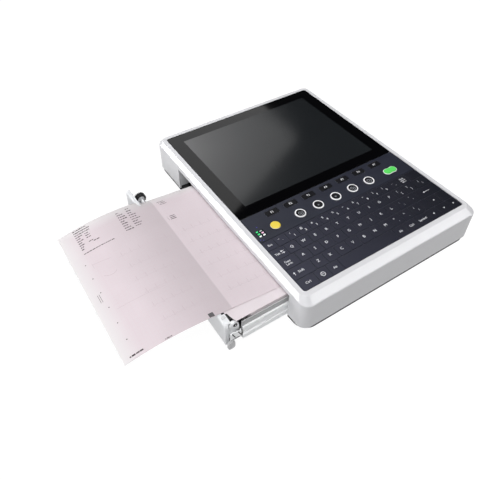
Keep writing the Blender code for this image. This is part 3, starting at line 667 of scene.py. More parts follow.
def housing_shell():
    lower_lip = [(0.10, SEAM), (0.03, SEAM + 0.25), (0.0, SEAM + 0.8)]
    shoulder = bend((0.0, -CHAMFER_DROP - 1.1), (0.0, -CHAMFER_DROP), (0.12, -CHAMFER_DROP * 0.88))
    brow = bend((0.93, -CHAMFER_DROP * 0.07), (1.0, -0.1), (1.06, -0.12))
    rings = [housing_ring(share, height) for share, height in lower_lip + shoulder + brow]
    lip = ((1.5, -0.12), (1.2, -0.08), (0.95, 0.06), (0.65, 0.12), (-2.0, 0.12))
    rings += [panel_ring(grow, height) for grow, height in lip]
    shell = mesh_object("housing_shell", loft(rings), WHITE)
    cut(shell, loft([
        inset_ring(WALL, SEAM - 1, CORNER - WALL),
        inset_ring(WALL, CEILING - 3.2, CORNER - WALL),
        inset_ring(6.3, CEILING, 7.0, -FRONT - 5.5),
    ]))
    for y in (OPENING_FRONT - 2, OPENING_BACK):
        add(shell, box((LEFT + 0.8, y, RETURN_BOTTOM), (RETURN_END, y + 2, RETURN_TOP)))
    cut(shell, loft([panel_ring(0, LEDGE_TOP), panel_ring(0, 1)]))
    cut(shell, loft([panel_ring(-4, CEILING - 1), panel_ring(-4, LEDGE_TOP + 0.5)]))
    cut(shell, box((LEFT - 1, OPENING_FRONT, SEAM - 1), (LEFT + WALL + 0.4, OPENING_BACK, RIM_UNDER)))
    inner, outer = BACK - WALL - 1, BACK + 1
    sockets = ((INLET, (27.2, 20.6)), (SWITCH, (13.6, 19.6)), (USB, (15.0, 8.2)), (NETWORK, (16.6, 14.6)))
    holes = [back_block(centre, size, inner, outer) for centre, size in sockets]
    holes.append(rod(*STUD, 4.0, inner, outer, "y"))
    y, z = PATIENT
    holes.append(box((RIGHT - WALL - 1, y - 16, z - 6.5), (RIGHT + 1, y + 16, z + 6.5)))
    for number in range(9):
        holes.append(back_block((206 + number * 4.5, -29.0), (2.0, 18.0), inner, outer, 0.95))
    cut(shell, *holes)
    soften(shell, 0.3)
    finish(shell, "housing", ["upper_housing"])


SCREWS = (
    (12.0, -4.0), (236.0, -4.0), (12.0, 316.0), (240.0, 316.0),
    (150.0, 40.0), (150.0, 280.0), (246.0, 150.0),
)


def base_shell():
    skirt = SEAM - GAP
    rounding = arc(0, BASE_BOTTOM + SKIRT_EDGE, SKIRT_EDGE, -90, -180, 4)
    inset, corner = BASE_INSET + SKIRT_EDGE, SKIRT_CORNER - SKIRT_EDGE
    rings = [inset_ring(inset + more, height, corner) for more, height in rounding]
    rings.append(inset_ring(BASE_INSET, skirt - 0.25, SKIRT_CORNER))
    rings.append(inset_ring(BASE_INSET + 0.25, skirt, SKIRT_CORNER - 0.25))
    rings += [inset_ring(TONGUE, height, 11.0) for height in (skirt, TONGUE_TOP)]
    shell = mesh_object("base_shell", loft(rings), BLACK)
    cut(shell, loft([inset_ring(TONGUE + 2, height, 9.0) for height in (BASE_FLOOR, -39.0)]))
    cut(shell, box((LEFT, OPENING_FRONT - 2, UNDER), (RETURN_END + 0.5, OPENING_BACK + 2, -30)))
    edge, end = LEFT + BASE_INSET, RETURN_END + 0.5
    profile = [
        (edge, skirt), (LEFT + TONGUE, skirt), (LEFT + TONGUE, LIP_TOP), (end, LIP_TOP),
        (end, BASE_BOTTOM), (edge, BASE_BOTTOM),
    ]
    add(shell, *[prism(profile, y, y + 3.5, "y") for y in (OPENING_FRONT - 3.5, OPENING_BACK)])
    (x0, y0), (x1, y1), inside = BATTERY_LOW, BATTERY_HIGH, BASE_FLOOR + 1
    slots = [box((x0 - GAP, y0 - GAP, UNDER), (x1 + GAP, y1 + GAP, inside))]
    for step in range(-2, 3):
        speaker_slot = around(SPEAKER[0], SPEAKER[1] + step * 5, (20 - abs(step) * 3.0, 2), 0.95, 4)
        slots.append(prism(speaker_slot(0), UNDER, inside))
    for step in range(10):
        vent = rounded_rectangle(46 + step * 9, 286, 49 + step * 9, 308, 1.4, 4)
        slots.append(prism(vent, UNDER, inside))
    cut(shell, *slots)
    cut(shell, *[rod(x, y, 3.6, BASE_BOTTOM - 1, BASE_BOTTOM + 1.3, "z", steps=24) for x, y in SCREWS])
    soften(shell, 0.25)
    finish(shell, "housing", ["base_tray"])


def screw(name, x, y, top):
    """A pan head seen from below, with a cross recess."""
    radius, deep = 3.0, top - 2
    profile = [(0.3, top - 1.5), (1.65, top - 1.35), (2.7, top - 0.9), (radius, top - 0.4), (radius, top)]
    head = mesh_object(name, turned(x, y, profile, "z", 24), STEEL)
    for half, thin in ((1.8, 0.35), (0.35, 1.8)):
        cut(head, box((x - half, y - thin, deep), (x + half, y + thin, top - 0.7)))
    finish(head, "housing")


def base_details():
    for number, (x, y) in enumerate(SCREWS, 1):
        screw(f"base_screw_{number}", x, y, BASE_BOTTOM + 1.28)
    for number in range(1, 5):
        low, high = span(f"foot_{number}")
        x, y = (low.x + high.x) / 2, (low.y + high.y) / 2
        profile = [(2.2, low.z + 0.8), (3.2, low.z + 0.55), (4.2, low.z), (5.6, low.z)]
        profile += arc(5.6, low.z + 1.2, 1.2, -90, 0, 4) + [(6.9, high.z)]
        foot = mesh_object(f"rubber_foot_{number}", turned(x, y, profile, "z"), FOOT_RUBBER)
        finish(foot, "housing", [f"foot_{number}"])
    cover = mesh_object("battery_hatch", box((*BATTERY_LOW, BASE_BOTTOM), (*BATTERY_HIGH, BASE_FLOOR)), BLACK)
    x, y, below = (BATTERY_LOW[0] + BATTERY_HIGH[0]) / 2, BATTERY_LOW[1] + 6, BASE_BOTTOM - 1
    cuts = [prism(rounded_rectangle(x - 12, y - 2.5, x + 12, y + 2.5, 2.4), below, BASE_BOTTOM + 1.0)]
    for step in range(4):
        groove = y + 46 + step * 2
        cuts.append(box((x - 10, groove, below), (x + 10, groove + 0.8, BASE_BOTTOM + 0.5)))
    cut(cover, *cuts)
    soften(cover, 0.4)
    finish(cover, "housing", ["battery_cover"])


# Panel


def typing_rows():
    """Column edges of each row of the typing keypad, front to back."""
    first, last = EDGE, PANEL_WIDTH - EDGE
    return [
        [first, 24.3, 41.5, 58.5, 142.0, 159.2, 177.4, 196.8, 215.3, 233.2, last],
        [first] + [32.3 + 17.05 * i for i in range(11)] + [215.6, 232.6, last],
        [first] + [24.1 + 17.05 * i for i in range(12)] + [last],
        [first] + [20.5 + 16.97 * i for i in range(13)] + [last],
        [first] + [16.3 + 16.3 * i for i in range(14)] + [last],
    ]


# One entry per key: a word, a letter, or a shifted sign over a plain one
LEGENDS = (
    ("Ctrl", "Fn", "Alt", "", "Alt", "Ctrl", "Symbol", "left", "down", "right"),
    ("Shift",) + tuple("ZXCVBNM") + ("<,", ">.", "?/", "", "up", ""),
    ("Caps",) + tuple("ASDFGHJKL") + (":;", "\"'", "enter"),
    ("Tab",) + tuple("QWERTYUIOP") + ("{[", "}]", "|\\"),
    ("Esc", "~`", "!1", "@2", "#3", "$4", "%5", "^6", "&7", "*8", "(9", ")0", "_-", "back", ""),
)
ARROWS = {"left": 180, "down": 270, "right": 0, "up": 90}


def typing_keys():
    """Each typing key's edges, left, front, right and back, with what is printed on it."""
    for row, (columns, names) in enumerate(zip(typing_rows(), LEGENDS)):
        front, back = ROW_EDGES[row], ROW_EDGES[row + 1] - KEY_GROOVE
        for left, right, name in zip(columns, columns[1:], names):
            yield left, front, right - KEY_GROOVE, back, name


def keypad():
    outline = rounded_rectangle(GAP, GAP, PANEL_WIDTH - GAP, KEYPAD_DEPTH - GAP, PANEL_RADIUS, 8)
    mat = mesh_object("silicone_keypad", prism(outline, -PANEL_THICK, -0.75), SILICONE)
    upper = rounded_rectangle(EDGE, TYPING_BACK, PANEL_WIDTH - EDGE, KEYPAD_DEPTH - GAP, 1.5, 5)
    add(mat, prism(upper, -1.2, -0.05))
    holes = [around(x, F_KEY_ROW, F_KEY_SIZE, 1.6, 5)(KEY_CLEAR) for x in F_KEYS]
    holes += [circle(x, ROUND_KEY_ROW, ROUND_KEY_RADIUS + KEY_CLEAR) for x in ROUND_KEYS]
    holes.append(circle(COPY_KEY_X, ROUND_KEY_ROW, COPY_KEY_RADIUS + KEY_CLEAR))
    end = START_KEY_SIZE[1] / 2 - 0.01
    holes.append(around(START_KEY_X, ROUND_KEY_ROW, START_KEY_SIZE, end, 12)(KEY_CLEAR))
    holes.append(rounded_rectangle(*STATUS_LOW, *STATUS_HIGH, 1.0, 3))
    cut(mat, *[prism(hole, -4, 2) for hole in holes])
    soften(mat, 0.12, 2)
    finish(mat, "housing", ["keypad_mat"])
    caps = [cushion(growing(*edges, 1.2, 3), -0.8, 0.0, 0.4, 3) for *edges, _ in typing_keys()]
    finish(mesh_object("typing_keys", joined(caps), KEYS), "housing")


def lettering(items, level):
    """Flat raised letters from (text, x, y, size) entries, as one shape."""
    writers = []
    for text, x, y, size in items:
        curve = bpy.data.curves.new("lettering", "FONT")
        curve.body = text
        curve.size = size
        curve.align_x = "CENTER"
        curve.align_y = "CENTER"
        curve.extrude = INK / 2
        curve.resolution_u = 2
        writer = bpy.data.objects.new("lettering", curve)
        bpy.context.scene.collection.objects.link(writer)
        writers.append((writer, x, y))
    bpy.context.view_layer.update()
    graph = bpy.context.evaluated_depsgraph_get()
    shapes = []
    for writer, x, y in writers:
        mesh = bpy.data.meshes.new_from_object(writer.evaluated_get(graph))
        points = [(x + v.co.x, y + v.co.y, level + v.co.z) for v in mesh.vertices]
        shapes.append((points, [tuple(face.vertices) for face in mesh.polygons]))
        bpy.data.meshes.remove(mesh)
        bpy.data.objects.remove(writer, do_unlink=True)
    return joined(shapes)


def turned_outline(outline, x, y, angle):
    cos, sin = math.cos(math.radians(angle)), math.sin(math.radians(angle))
    return [(x + u * cos - v * sin, y + u * sin + v * cos) for u, v in outline]


def flat_mark(outline, level=INK / 2):
    return prism(outline, level - INK / 2, level + INK / 2)


def arrow(x, y, angle, length):
    """A line with an arrow head, pointing along angle."""
    turn = math.radians(angle)
    tip_x, tip_y = x + length / 2 * math.cos(turn), y + length / 2 * math.sin(turn)
    shapes = [flat_mark(turned_outline([(0.0, 0.0), (-2.0, 1.2), (-2.0, -1.2)], tip_x, tip_y, angle))]
    if length > 3:
        stem = rectangle(-length / 2, -0.22, length / 2 - 1.6, 0.22)
        shapes.append(flat_mark(turned_outline(stem, x, y, angle)))
    return shapes


def legend(name, left, x, y):
    """Words and arrows on one key, from its left edge and its middle."""
    if name in ARROWS:
        return [], arrow(x, y, ARROWS[name], 2.4)
    if name == "enter":
        return [], arrow(x - 1, y, 180, 11.0)
    if name == "back":
        words = [("Back", x - 1, y + 2.2, 3.6), ("space", x - 1, y - 0.8, 3.6)]
        return words, arrow(x - 1, y - 4.0, 180, 7.0)
    if name == "Tab":
        pair = arrow(left + 13.5, y + 1.4, 180, 4.6) + arrow(left + 13.5, y - 1.6, 0, 4.6)
        return [("Tab", left + 6.5, y - 0.4, 4.2)], pair
    if name == "Caps":
        return [("Caps", left + 9.5, y + 1.8, 4.0), ("Lock", left + 9.5, y - 2.2, 4.0)], []
    if name == "Shift":
        return [("Shift", left + 14.5, y, 4.4)], arrow(left + 5.6, y, 90, 4.6)
    if name == "Fn":
        return [("Fn", x, y, 3.0)], [tube(x, y, 2.9, 2.3, 0.0, INK, "z", 28)]
    if len(name) == 2:
        return [(name[0], x - 2.4, y + 2.6, 3.9), (name[1], x + 1.6, y - 2.4, 4.4)], []
    if len(name) == 1:
        return [(name, x - 0.6, y + 0.6, 5.2)], []
    return ([(name, x, y, 4.3)] if name else []), []


def legends():
    texts, marks = [], []
    for left, front, right, back, name in typing_keys():
        words, shapes = legend(name, left, (left + right) / 2, (front + back) / 2)
        texts += words
        marks += shapes
    shape = joined([lettering(texts, INK / 2)] + marks)
    finish(mesh_object("key_legends", shape, PRINT), "housing")


def display():
    outline_at = growing(GAP, KEYPAD_DEPTH + GAP, PANEL_WIDTH - GAP, PANEL_DEPTH - GAP, PANEL_RADIUS, 10)
    glass = mesh_object("cover_glass", cushion(outline_at, -PANEL_THICK, 0.0, 0.25, 3), GLASS)
    finish(glass, "housing", ["display_glass"])


def function_keys():
    top = 0.25
    for number, x in enumerate(F_KEYS, 1):
        node = f"f_key_{number}"
        cap = cushion(around(x, F_KEY_ROW, F_KEY_SIZE, 1.6, 5), CAP_BOTTOM, top, 0.5, 4)
        mark = lettering([(f"F{number}", x, F_KEY_ROW - 0.2, 4.6)], top + INK / 2)
        obj = mesh_object(f"f_cap_{number}", joined([cap, mark]), KEY_BLACK, PRINT)
        paint(obj, 1, lambda middle: middle.z > top + 0.0001)
        finish(obj, node, [node])


def ring_icon(number, x, y, level):
    """Small generic signs: a disc in a bow, and triangles."""
    if number in (2, 3):
        angle = 90 if number == 2 else 270
        return [flat_mark(turned_outline([(1.5, 0), (-1.0, 1.4), (-1.0, -1.4)], x, y, angle), level)]
    bow = arc(x, y, 3.9, -95, 30, 8) + list(reversed(arc(x, y, 3.1, -95, 30, 8)))
    u, v = x - 0.4, y + 0.6
    ring = arc(u, v, 2.3, 0, 350, 20) + list(reversed(arc(u, v, 1.5, 0, 350, 20)))
    return [flat_mark(ring, level), flat_mark(bow, level)]


def round_keys():
    """A white collar round a black dish with a small grey sign."""
    y = ROUND_KEY_ROW
    profile = [(7.0, CAP_BOTTOM), (7.0, 0.5), (6.92, 0.68), (6.75, 0.78), (5.75, 0.78), (5.6, 0.7)]
    profile += [(5.5, 0.2), (4.6, -0.05), (2.6, -0.18), (0.4, -0.22)]
    for number, x in enumerate(ROUND_KEYS, 1):
        node = f"round_key_{number}"
        icons = ring_icon(number, x, y, -0.08 + INK / 2)
        cap = turned(x, y, profile, "z", 48)
        obj = mesh_object(f"round_cap_{number}", joined([cap, *icons]), KEY_BLACK, KEY_WHITE, ICON)
        paint(obj, 1, lambda middle, x=x: math.hypot(middle.x - x, middle.y - y) > 5.6)
        for face in list(obj.data.polygons)[len(cap[1]):]:
            face.material_index = 2
        finish(obj, node, [node])


def copy_key():
    x, y, radius = COPY_KEY_X, ROUND_KEY_ROW, COPY_KEY_RADIUS
    profile = [(radius, CAP_BOTTOM), (radius, 0.0)]
    profile += bend((radius, 0.1), (radius - 0.1, 0.75), (radius - 1.1, 0.95), 5)
    profile += bend((radius - 1.6, 1.0), (radius * 0.4, 1.2), (0.4, 1.2), 4)
    obj = mesh_object("copy_cap", turned(x, y, profile, "z", 48), KEY_YELLOW, KEY_WHITE)
    paint(obj, 1, lambda middle: middle.z < 0.35)
    finish(obj, "copy_key", ["copy_key"])


def two_lobes(x, y, grow):
    """A capsule outline with a slight waist."""
    half, radius = START_KEY_SIZE[0] / 2 + grow, START_KEY_SIZE[1] / 2 + grow
    flank = half - radius
    outline = []
    for side in (1, -1):
        outline += arc(x + side * flank, y, radius, -90 * side, 180 - 90 * side, 14)
        outline += [(x + side * flank * (1 - 2 * step / 12), y + side * radius) for step in range(1, 12)]
    return [(u, y + (v - y) * (1 - 0.10 * math.exp(-((u - x) / 2.4) ** 2))) for u, v in outline]


def start_key():
    x, y = START_KEY_X, ROUND_KEY_ROW
    levels = [(0.0, CAP_BOTTOM), (0.0, 0.3), (-0.12, 0.42), (-0.3, 0.46), (-0.62, 0.46), (-0.68, 0.5)]
    levels += [(-0.75, 0.75), (-1.1, 0.93), (-1.8, 1.0), (-3.4, 1.0)]
    rings = [swing(two_lobes(x, y, grow), z, "z") for grow, z in levels]
    obj = mesh_object("start_cap", loft(rings), KEY_GREEN, KEY_WHITE)
    paint(obj, 1, lambda middle: middle.z < 0.47)
    finish(obj, "start_key", ["start_key"])


def status_lights():
    (x0, y0), (x1, y1) = STATUS_LOW, STATUS_HIGH
    outline_at = growing(x0 + GAP, y0 + GAP, x1 - GAP, y1 - GAP, 0.9, 3)
    window = mesh_object("status_pane", cushion(outline_at, -PANEL_THICK, 0.0, 0.2, 2), WINDOW)
    finish(window, "housing", ["status_window"])
    lights = (
        (6.9, 99.0, GREEN_LAMP), (6.9, 95.0, GREEN_LAMP), (6.9, 91.2, WHITE_LAMP),
        (11.8, 98.6, WHITE_LAMP), (12.2, 95.0, PINK_LAMP), (12.2, 91.2, WHITE_LAMP),
    )
    for number, (x, y, look) in enumerate(lights, 1):
        height = 0.5 if number == 4 else 1.0
        shape = [(x - 1.7, y - height), (x + 1.2, y - height), (x + 1.7, y + height), (x - 1.2, y + height)]
        mark = mesh_object(f"status_light_{number}", flat_mark(shape), look)
        finish(mark, "housing")
    for number, (x, y) in enumerate(((11.0, 105.6), (3.6, 86.4), (6.6, 84.6)), 1):
        shape = flat_mark(circle(x, y, 0.5, 16), INK / 2 - 0.05)
        dot = mesh_object(f"status_dot_{number}", shape, BLUE_LAMP)
        finish(dot, "housing")


# Drawer


def tray():
    low, high = span("drawer_tray")
    ledge, wall = 2.2, 1.4
    near, far = low.y + ledge, high.y - ledge
    floor, top, start, bottom = -42.0, high.z, -69.0, -45.0
    shell = mesh_object("paper_tray", box((low.x, near, floor), (high.x, far, floor + 2)), TRAY_GREY)
    add(shell, *[box((start, y, bottom), (high.x, y + wall, top)) for y in (near, far - wall)])
    add(shell, box((high.x - 1.5, near + 0.5, floor + 1), (high.x, far - 0.5, top)),
        box((-60.2, near + 0.5, floor + 1), (-58.8, far - 0.5, -27.0)))
    soften(shell, 0.25)
    finish(shell, "drawer", ["drawer_tray"])
    for name, face, outward in (("near", near, -1), ("far", far, 1)):
        edge, groove = face + outward * ledge, face + outward * 0.25
        outline = [
            (face, -24.0), (edge, -24.0), (edge, -28.6), (groove, -29.2),
            (groove, -37.4), (edge, -38.0), (edge, bottom), (face, bottom),
        ]
        if outward > 0:
            outline.reverse()
        runner = mesh_object(f"slide_runner_{name}", prism(outline, start, high.x - 0.4, "x"), RUNNER)
        soften(runner, 0.35)
        finish(runner, "drawer")


def front_profile():
    """Drawer front's cross-section in X and Z, with a rounded top that guides the paper."""
    inner = FACE + 4.0
    curve = arc(FACE + 2.6, FRONT_TOP - 2.6, 2.6, 180, 90, 8)
    lip = bend((inner + 1.1, FRONT_TOP), (inner + 0.9, FRONT_TOP - 2.6), (inner, FRONT_TOP - 3.4), 4)
    outline = [(FACE, FRONT_BOTTOM)] + curve + lip + [(inner, FRONT_BOTTOM)]
    return list(reversed(outline))


def gear_cradle():
    """Hollow rib behind the drawer's front that shields the platen gear."""
    radius = 8.4
    left, right = BEHIND_FACE, -72.5
    start = math.degrees(math.acos((right - ROLLER_X) / radius))
    hollow = arc(*ROLLER, radius, -start, -110, 12)
    hollow.append((left, hollow[-1][1] + 1.6))
    return [(left, RIB_BOTTOM), (right, RIB_BOTTOM)] + hollow


def gear_shield():
    """Low plate on the near side of the platen gear, humped over the shaft."""
    foot = [(BEHIND_FACE, RIB_BOTTOM), (-71.0, RIB_BOTTOM), (-71.0, -24.0)]
    brow = [(-82.5, ROLLER_Z - 0.8), (BEHIND_FACE, ROLLER_Z + 2.2)]
    return foot + arc(*ROLLER, 3.6, -20, 150, 12) + brow


def drawer_face():
    front = mesh_object("drawer_face", prism(front_profile(), FACE_NEAR, FACE_FAR, "y"), DRAWER_WHITE)
    add(front, box((FACE + 1, FACE_NEAR, FRONT_TOP - 1.4), (-80.4, 31.0, FRONT_TOP)))
    add(front, prism(gear_cradle(), GEAR_FRONT - 4, FACE_FAR - 1.6, "y"))
    add(front, prism(gear_shield(), GEAR_FRONT - 2.0, GEAR_FRONT - 0.6, "y"))
    cut(front, rod(*ROLLER, BORE, GEAR_FRONT - 3, GEAR_FRONT, "y"))
    radius, outside, above = 6, FACE_NEAR - 1, FRONT_TOP + 1
    rounding = arc(FACE_NEAR + radius, FRONT_TOP - radius, radius, 180, 90, 8)
    corner = [(outside, FRONT_TOP - radius)] + rounding + [(FACE_NEAR + radius, above), (outside, above)]
    cut(front, prism(corner, FACE - 1, -79.0, "x"))
    soften(front, 0.45, 3)
    finish(front, "drawer", ["drawer_front"])


def roller_mounts():
    for end in ("near", "far"):
        low, high = span(f"bracket_{end}")
        outline = [
            (low.x, low.z), (high.x, low.z), (high.x, -24.0),
            (-73.4, -15.2), (-79.6, -15.2), (low.x, -20.0),
        ]
        bracket = mesh_object(f"roller_bracket_{end}", prism(outline, low.y, high.y, "y"), RUNNER)
        cut(bracket, rod(*ROLLER, 3.5, low.y - 1, high.y + 1, "y"))
        soften(bracket, 0.4)
        finish(bracket, "drawer", [f"bracket_{end}"])
        collar = tube(*ROLLER, 3.2, BORE, low.y, high.y, "y")
        bush = mesh_object(f"roller_bush_{end}", collar, ALUMINIUM)
        soften(bush, 0.15)
        finish(bush, "drawer", [f"bush_{end}"])


def platen():
    cap = span("bracket_near")[0].y - 1.2
    shaft = mesh_object("roller_shaft", joined([
        rod(*ROLLER, 2.0, cap + 0.4, span("platen_shaft")[1].y, "y", 0.3, 32),
        tube(*ROLLER, 4.2, 2.6, cap + 0.5, cap + 0.9, "y"),
        rod(*ROLLER, 2.4, cap, cap + 1.0, "y", 0.3, 32),
        rod(ROLLER_X + 0.3, ROLLER_Z + 0.2, 0.7, cap - 0.12, cap + 0.2, "y", 0.1, 16),
    ]), KEY_WHITE, KEY_BLACK)
    paint(shaft, 1, lambda middle: cap - 0.05 < middle.y < cap + 1.05 and
          math.hypot(middle.x - ROLLER_X, middle.z - ROLLER_Z) < 2.55)
    finish(shaft, "platen", ["platen_shaft"])
    near, far = span("platen_roller")[0].y, span("platen_roller")[1].y
    roller = mesh_object("rubber_roller", tube(*ROLLER, 6.5, BORE, near, far, "y", 64), RUBBER)
    soften(roller, 0.5, 3)
    finish(roller, "platen", ["platen_roller"])


def toothed_wheel(name, centre, teeth, phase, bore, node, body, look, slot):
    back = GEAR_FRONT + GEAR_WIDTH
    x, z = centre
    low, high = span(node)
    start, end = max(low.y, GEAR_FRONT - 0.5), min(high.y, back + 0.5)
    gear = mesh_object(name, prism(gear_outline(x, z, teeth, phase), start, end, "y"), look)
    if bore:
        cut(gear, rod(x, z, bore, GEAR_FRONT - 2, back + 2, "y", steps=32))
        rim, hub = MODULE * teeth / 2 - 2.0, bore + 0.4
        for first, last in ((GEAR_FRONT - 1, GEAR_FRONT + 1.8), (back - 1.8, back + 1)):
            cut(gear, tube(x, z, rim, hub, first, last, "y"))
        web = tube(x, z, rim - 0.1, hub + 0.1, GEAR_FRONT + 0.1, GEAR_FRONT + 1.6, "y")
        finish(mesh_object(f"{name}_web", web, KEY_WHITE), body)
    else:
        add(gear, rod(x, z, 1.8, back, high.y, "y", steps=24))
    soften(gear, 0.08, 1)
    finish(gear, body, [node])


def idler_phase():
    """Turn of the idler, in teeth, that puts one of its gaps at the pinion's nearest tooth."""
    mesh_angle = math.atan2(PINION[1] - IDLER[1], PINION[0] - IDLER[0])
    toward_idler = (mesh_angle + math.pi) / (2 * math.pi) * PINION_TEETH
    lead = toward_idler - round(toward_idler)
    return (mesh_angle / (2 * math.pi) * IDLER_TEETH + lead + 0.5) % 1.0


def gear_train():
    nylon, steel = (NYLON, "gear_nylon"), (STEEL, "steel")
    toothed_wheel("platen_wheel", ROLLER, PLATEN_TEETH, 0.5, BORE, "platen_gear", "platen", *nylon)
    toothed_wheel("idler_wheel", IDLER, IDLER_TEETH, idler_phase(), BORE, "idler_gear", "idler", *nylon)
    toothed_wheel("motor_wheel", PINION, PINION_TEETH, 0.0, 0.0, "motor_pinion", "motor_shaft", *steel)


def bar_outline(start, end, width):
    """A bar between two points, seen flat on."""
    (u0, v0), (u1, v1) = start, end
    length = math.hypot(u1 - u0, v1 - v0)
    du, dv = (v0 - v1) / length * width / 2, (u1 - u0) / length * width / 2
    return [(u0 - du, v0 - dv), (u1 - du, v1 - dv), (u1 + du, v1 + dv), (u0 + du, v0 + dv)]


def drawer_fittings():
    eye = cushion(growing(-86.4, 25.2, -81.6, 29.0, 1.85, 6), FRONT_TOP + 0.02, FRONT_TOP + 0.8, 0.5, 4)
    finish(mesh_object("sensor_eye", eye, MID_GREY), "drawer", ["paper_sensor"])
    side = [(-84.1, -27.0), (-84.1, -38.6), (-80.0, -39.4), (-70.6, -36.0), (-70.6, -29.0), (-80.0, -26.2)]
    latch = mesh_object("latch_tab", prism(side, 12.7, 14.0, "y"), LATCH_WHITE)
    add(latch, rod(-71.4, 13.35, 0.7, -39.4, -26.2, "z", steps=24))
    soften(latch, 0.25)
    finish(latch, "latch", ["drawer_latch"])
    bars = (
        ((-82.2, -27.0), (-78.4, -35.4), 1.1), ((-74.8, -27.9), (-71.2, -35.6), 1.1),
        ((-83.8, -37.4), (-74.2, -37.2), 0.35),
    )
    shapes = [prism(bar_outline(*bar), 12.45, 12.75, "y") for bar in bars]
    finish(mesh_object("latch_bars", joined(shapes), KEY_BLACK), "latch")
    outline_at = growing(-87.4, -53.2, -78.6, -40.4, 3.6, 8)
    low, high = span("drawer_foot")
    levels = ((-0.6, low.y), (-0.15, low.y + 0.15), (0.0, low.y + 0.6), (0.0, high.y))
    rings = [swing(outline_at(grow), level, "y") for grow, level in levels]
    foot = mesh_object("drawer_heel", loft(rings), MID_GREY)
    cut(foot, rod(-83.0, -48.6, 2.4, low.y - 1, low.y + 0.5, "y", steps=32))
    finish(foot, "drawer", ["drawer_foot"])


# Chart paper


def sheet_height(x, y=100.0):
    """Height of the sheet's top face: flat in the tray, a low ridge at the crease, then drooping."""
    crease = CREASE_X + CREASE_SLANT * (y - SHEET_EDGE)
    ridge = 0.3 * math.exp(-abs(x - crease) / 3.5)
    share = max(0.0, (SHEET_BEND - x) / (SHEET_BEND - SHEET_END))
    across = (y - SHEET_EDGE - SHEET_SLANT * (FACE - x)) / SHEET_WIDTH
    wave = 1.1 * share * math.sin(across * math.pi * 1.5 + 0.6)
    past = min(1.0, max(0.0, (across - 0.925) / 0.075))
    inboard = min(1.0, max(0.0, (x - SHEET_BEND) / 14.0))
    sag = FAR_SAG * past ** 1.6 * inboard * inboard * (3 - 2 * inboard)
    return SHEET_TOP + ridge - SHEET_DROOP * share ** 2.2 + wave - sag


def sheet_spot(x, across, lift=0.0):
    """A point on the sheet: x along the panel's width, and the distance across it from its near edge."""
    y = SHEET_EDGE + SHEET_SLANT * (FACE - x) + across
    return x, y, sheet_height(x, y) + lift


def printed_sheet():
    columns, rows = 90, 40
    points, faces, marks = [], [], []
    for column in range(columns + 1):
        x = SHEET_START + (SHEET_END - SHEET_START) * column / columns
        for row in range(rows + 1):
            across = SHEET_WIDTH * row / rows
            points.append(sheet_spot(x, across, -0.06))
            marks.append((SHEET_START - x, across))
    for column in range(columns):
        for row in range(rows):
            a = column * (rows + 1) + row
            b = a + rows + 1
            faces.append((a, a + 1, b + 1, b))
    sheet = mesh_object("chart_sheet", (points, faces), PAPER)
    layer = sheet.data.uv_layers.new(name="chart")
    for loop in sheet.data.loops:
        layer.data[loop.index].uv = marks[loop.vertex_index]
    thickness = sheet.modifiers.new("thickness", "SOLIDIFY")
    thickness.thickness = 0.12 * MM
    thickness.offset = 0.0
    finish(sheet, "drawer", ["paper_sheet"])
    return sheet


def stroke(start, end, width, lift=0.05):
    """A printed line on the sheet between two (x, across) points."""
    (x0, a0), (x1, a1) = start, end
    length = math.hypot(x1 - x0, a1 - a0)
    side_x, side_a = -(a1 - a0) / length * width / 2, (x1 - x0) / length * width / 2
    steps = max(1, int(length / 4))
    points, faces = [], []
    for step in range(steps + 1):
        t = step / steps
        x, a = x0 + (x1 - x0) * t, a0 + (a1 - a0) * t
        points.append(sheet_spot(x + side_x, a + side_a, lift))
        points.append(sheet_spot(x - side_x, a - side_a, lift))
    for step in range(steps):
        i = step * 2
        faces.append((i, i + 1, i + 3, i + 2))
    return points, faces


def level_stroke(x, across, length, width):
    return stroke((x, across), (x + length, across), width)


def dashes(chance, x, across, length, height=1.1):
    """A run of short dashes that stands for a line of text."""
    shapes = []
    end = x + length
    while x < end - 0.6:
        word = min(chance.uniform(1.2, 4.0), end - x)
        shapes.append(level_stroke(x, across, word, height * chance.uniform(0.9, 1.35)))
        x += word + chance.uniform(0.35, 0.8)
    return shapes


def heartbeat(x, across, width, tall):
    """One beat of a trace: the small wave, the spike and the round wave."""
    shape = (
        (0.0, 0.0), (0.12, 0.0), (0.18, 0.12), (0.24, 0.0), (0.32, 0.0), (0.35, -0.12), (0.39, 1.0),
        (0.43, -0.25), (0.47, 0.0), (0.60, 0.02), (0.70, 0.25), (0.80, 0.02), (1.0, 0.0),
    )
    return [(x + u * width, across + v * tall) for u, v in shape]


def trace(x, across, length, beat, tall):
    path = []
    for number in range(int(length / beat)):
        path += heartbeat(x + number * beat, across, beat, tall)[1 if number else 0:]
    return [stroke(a, b, 0.22, TRACE_LIFT) for a, b in zip(path, path[1:])]


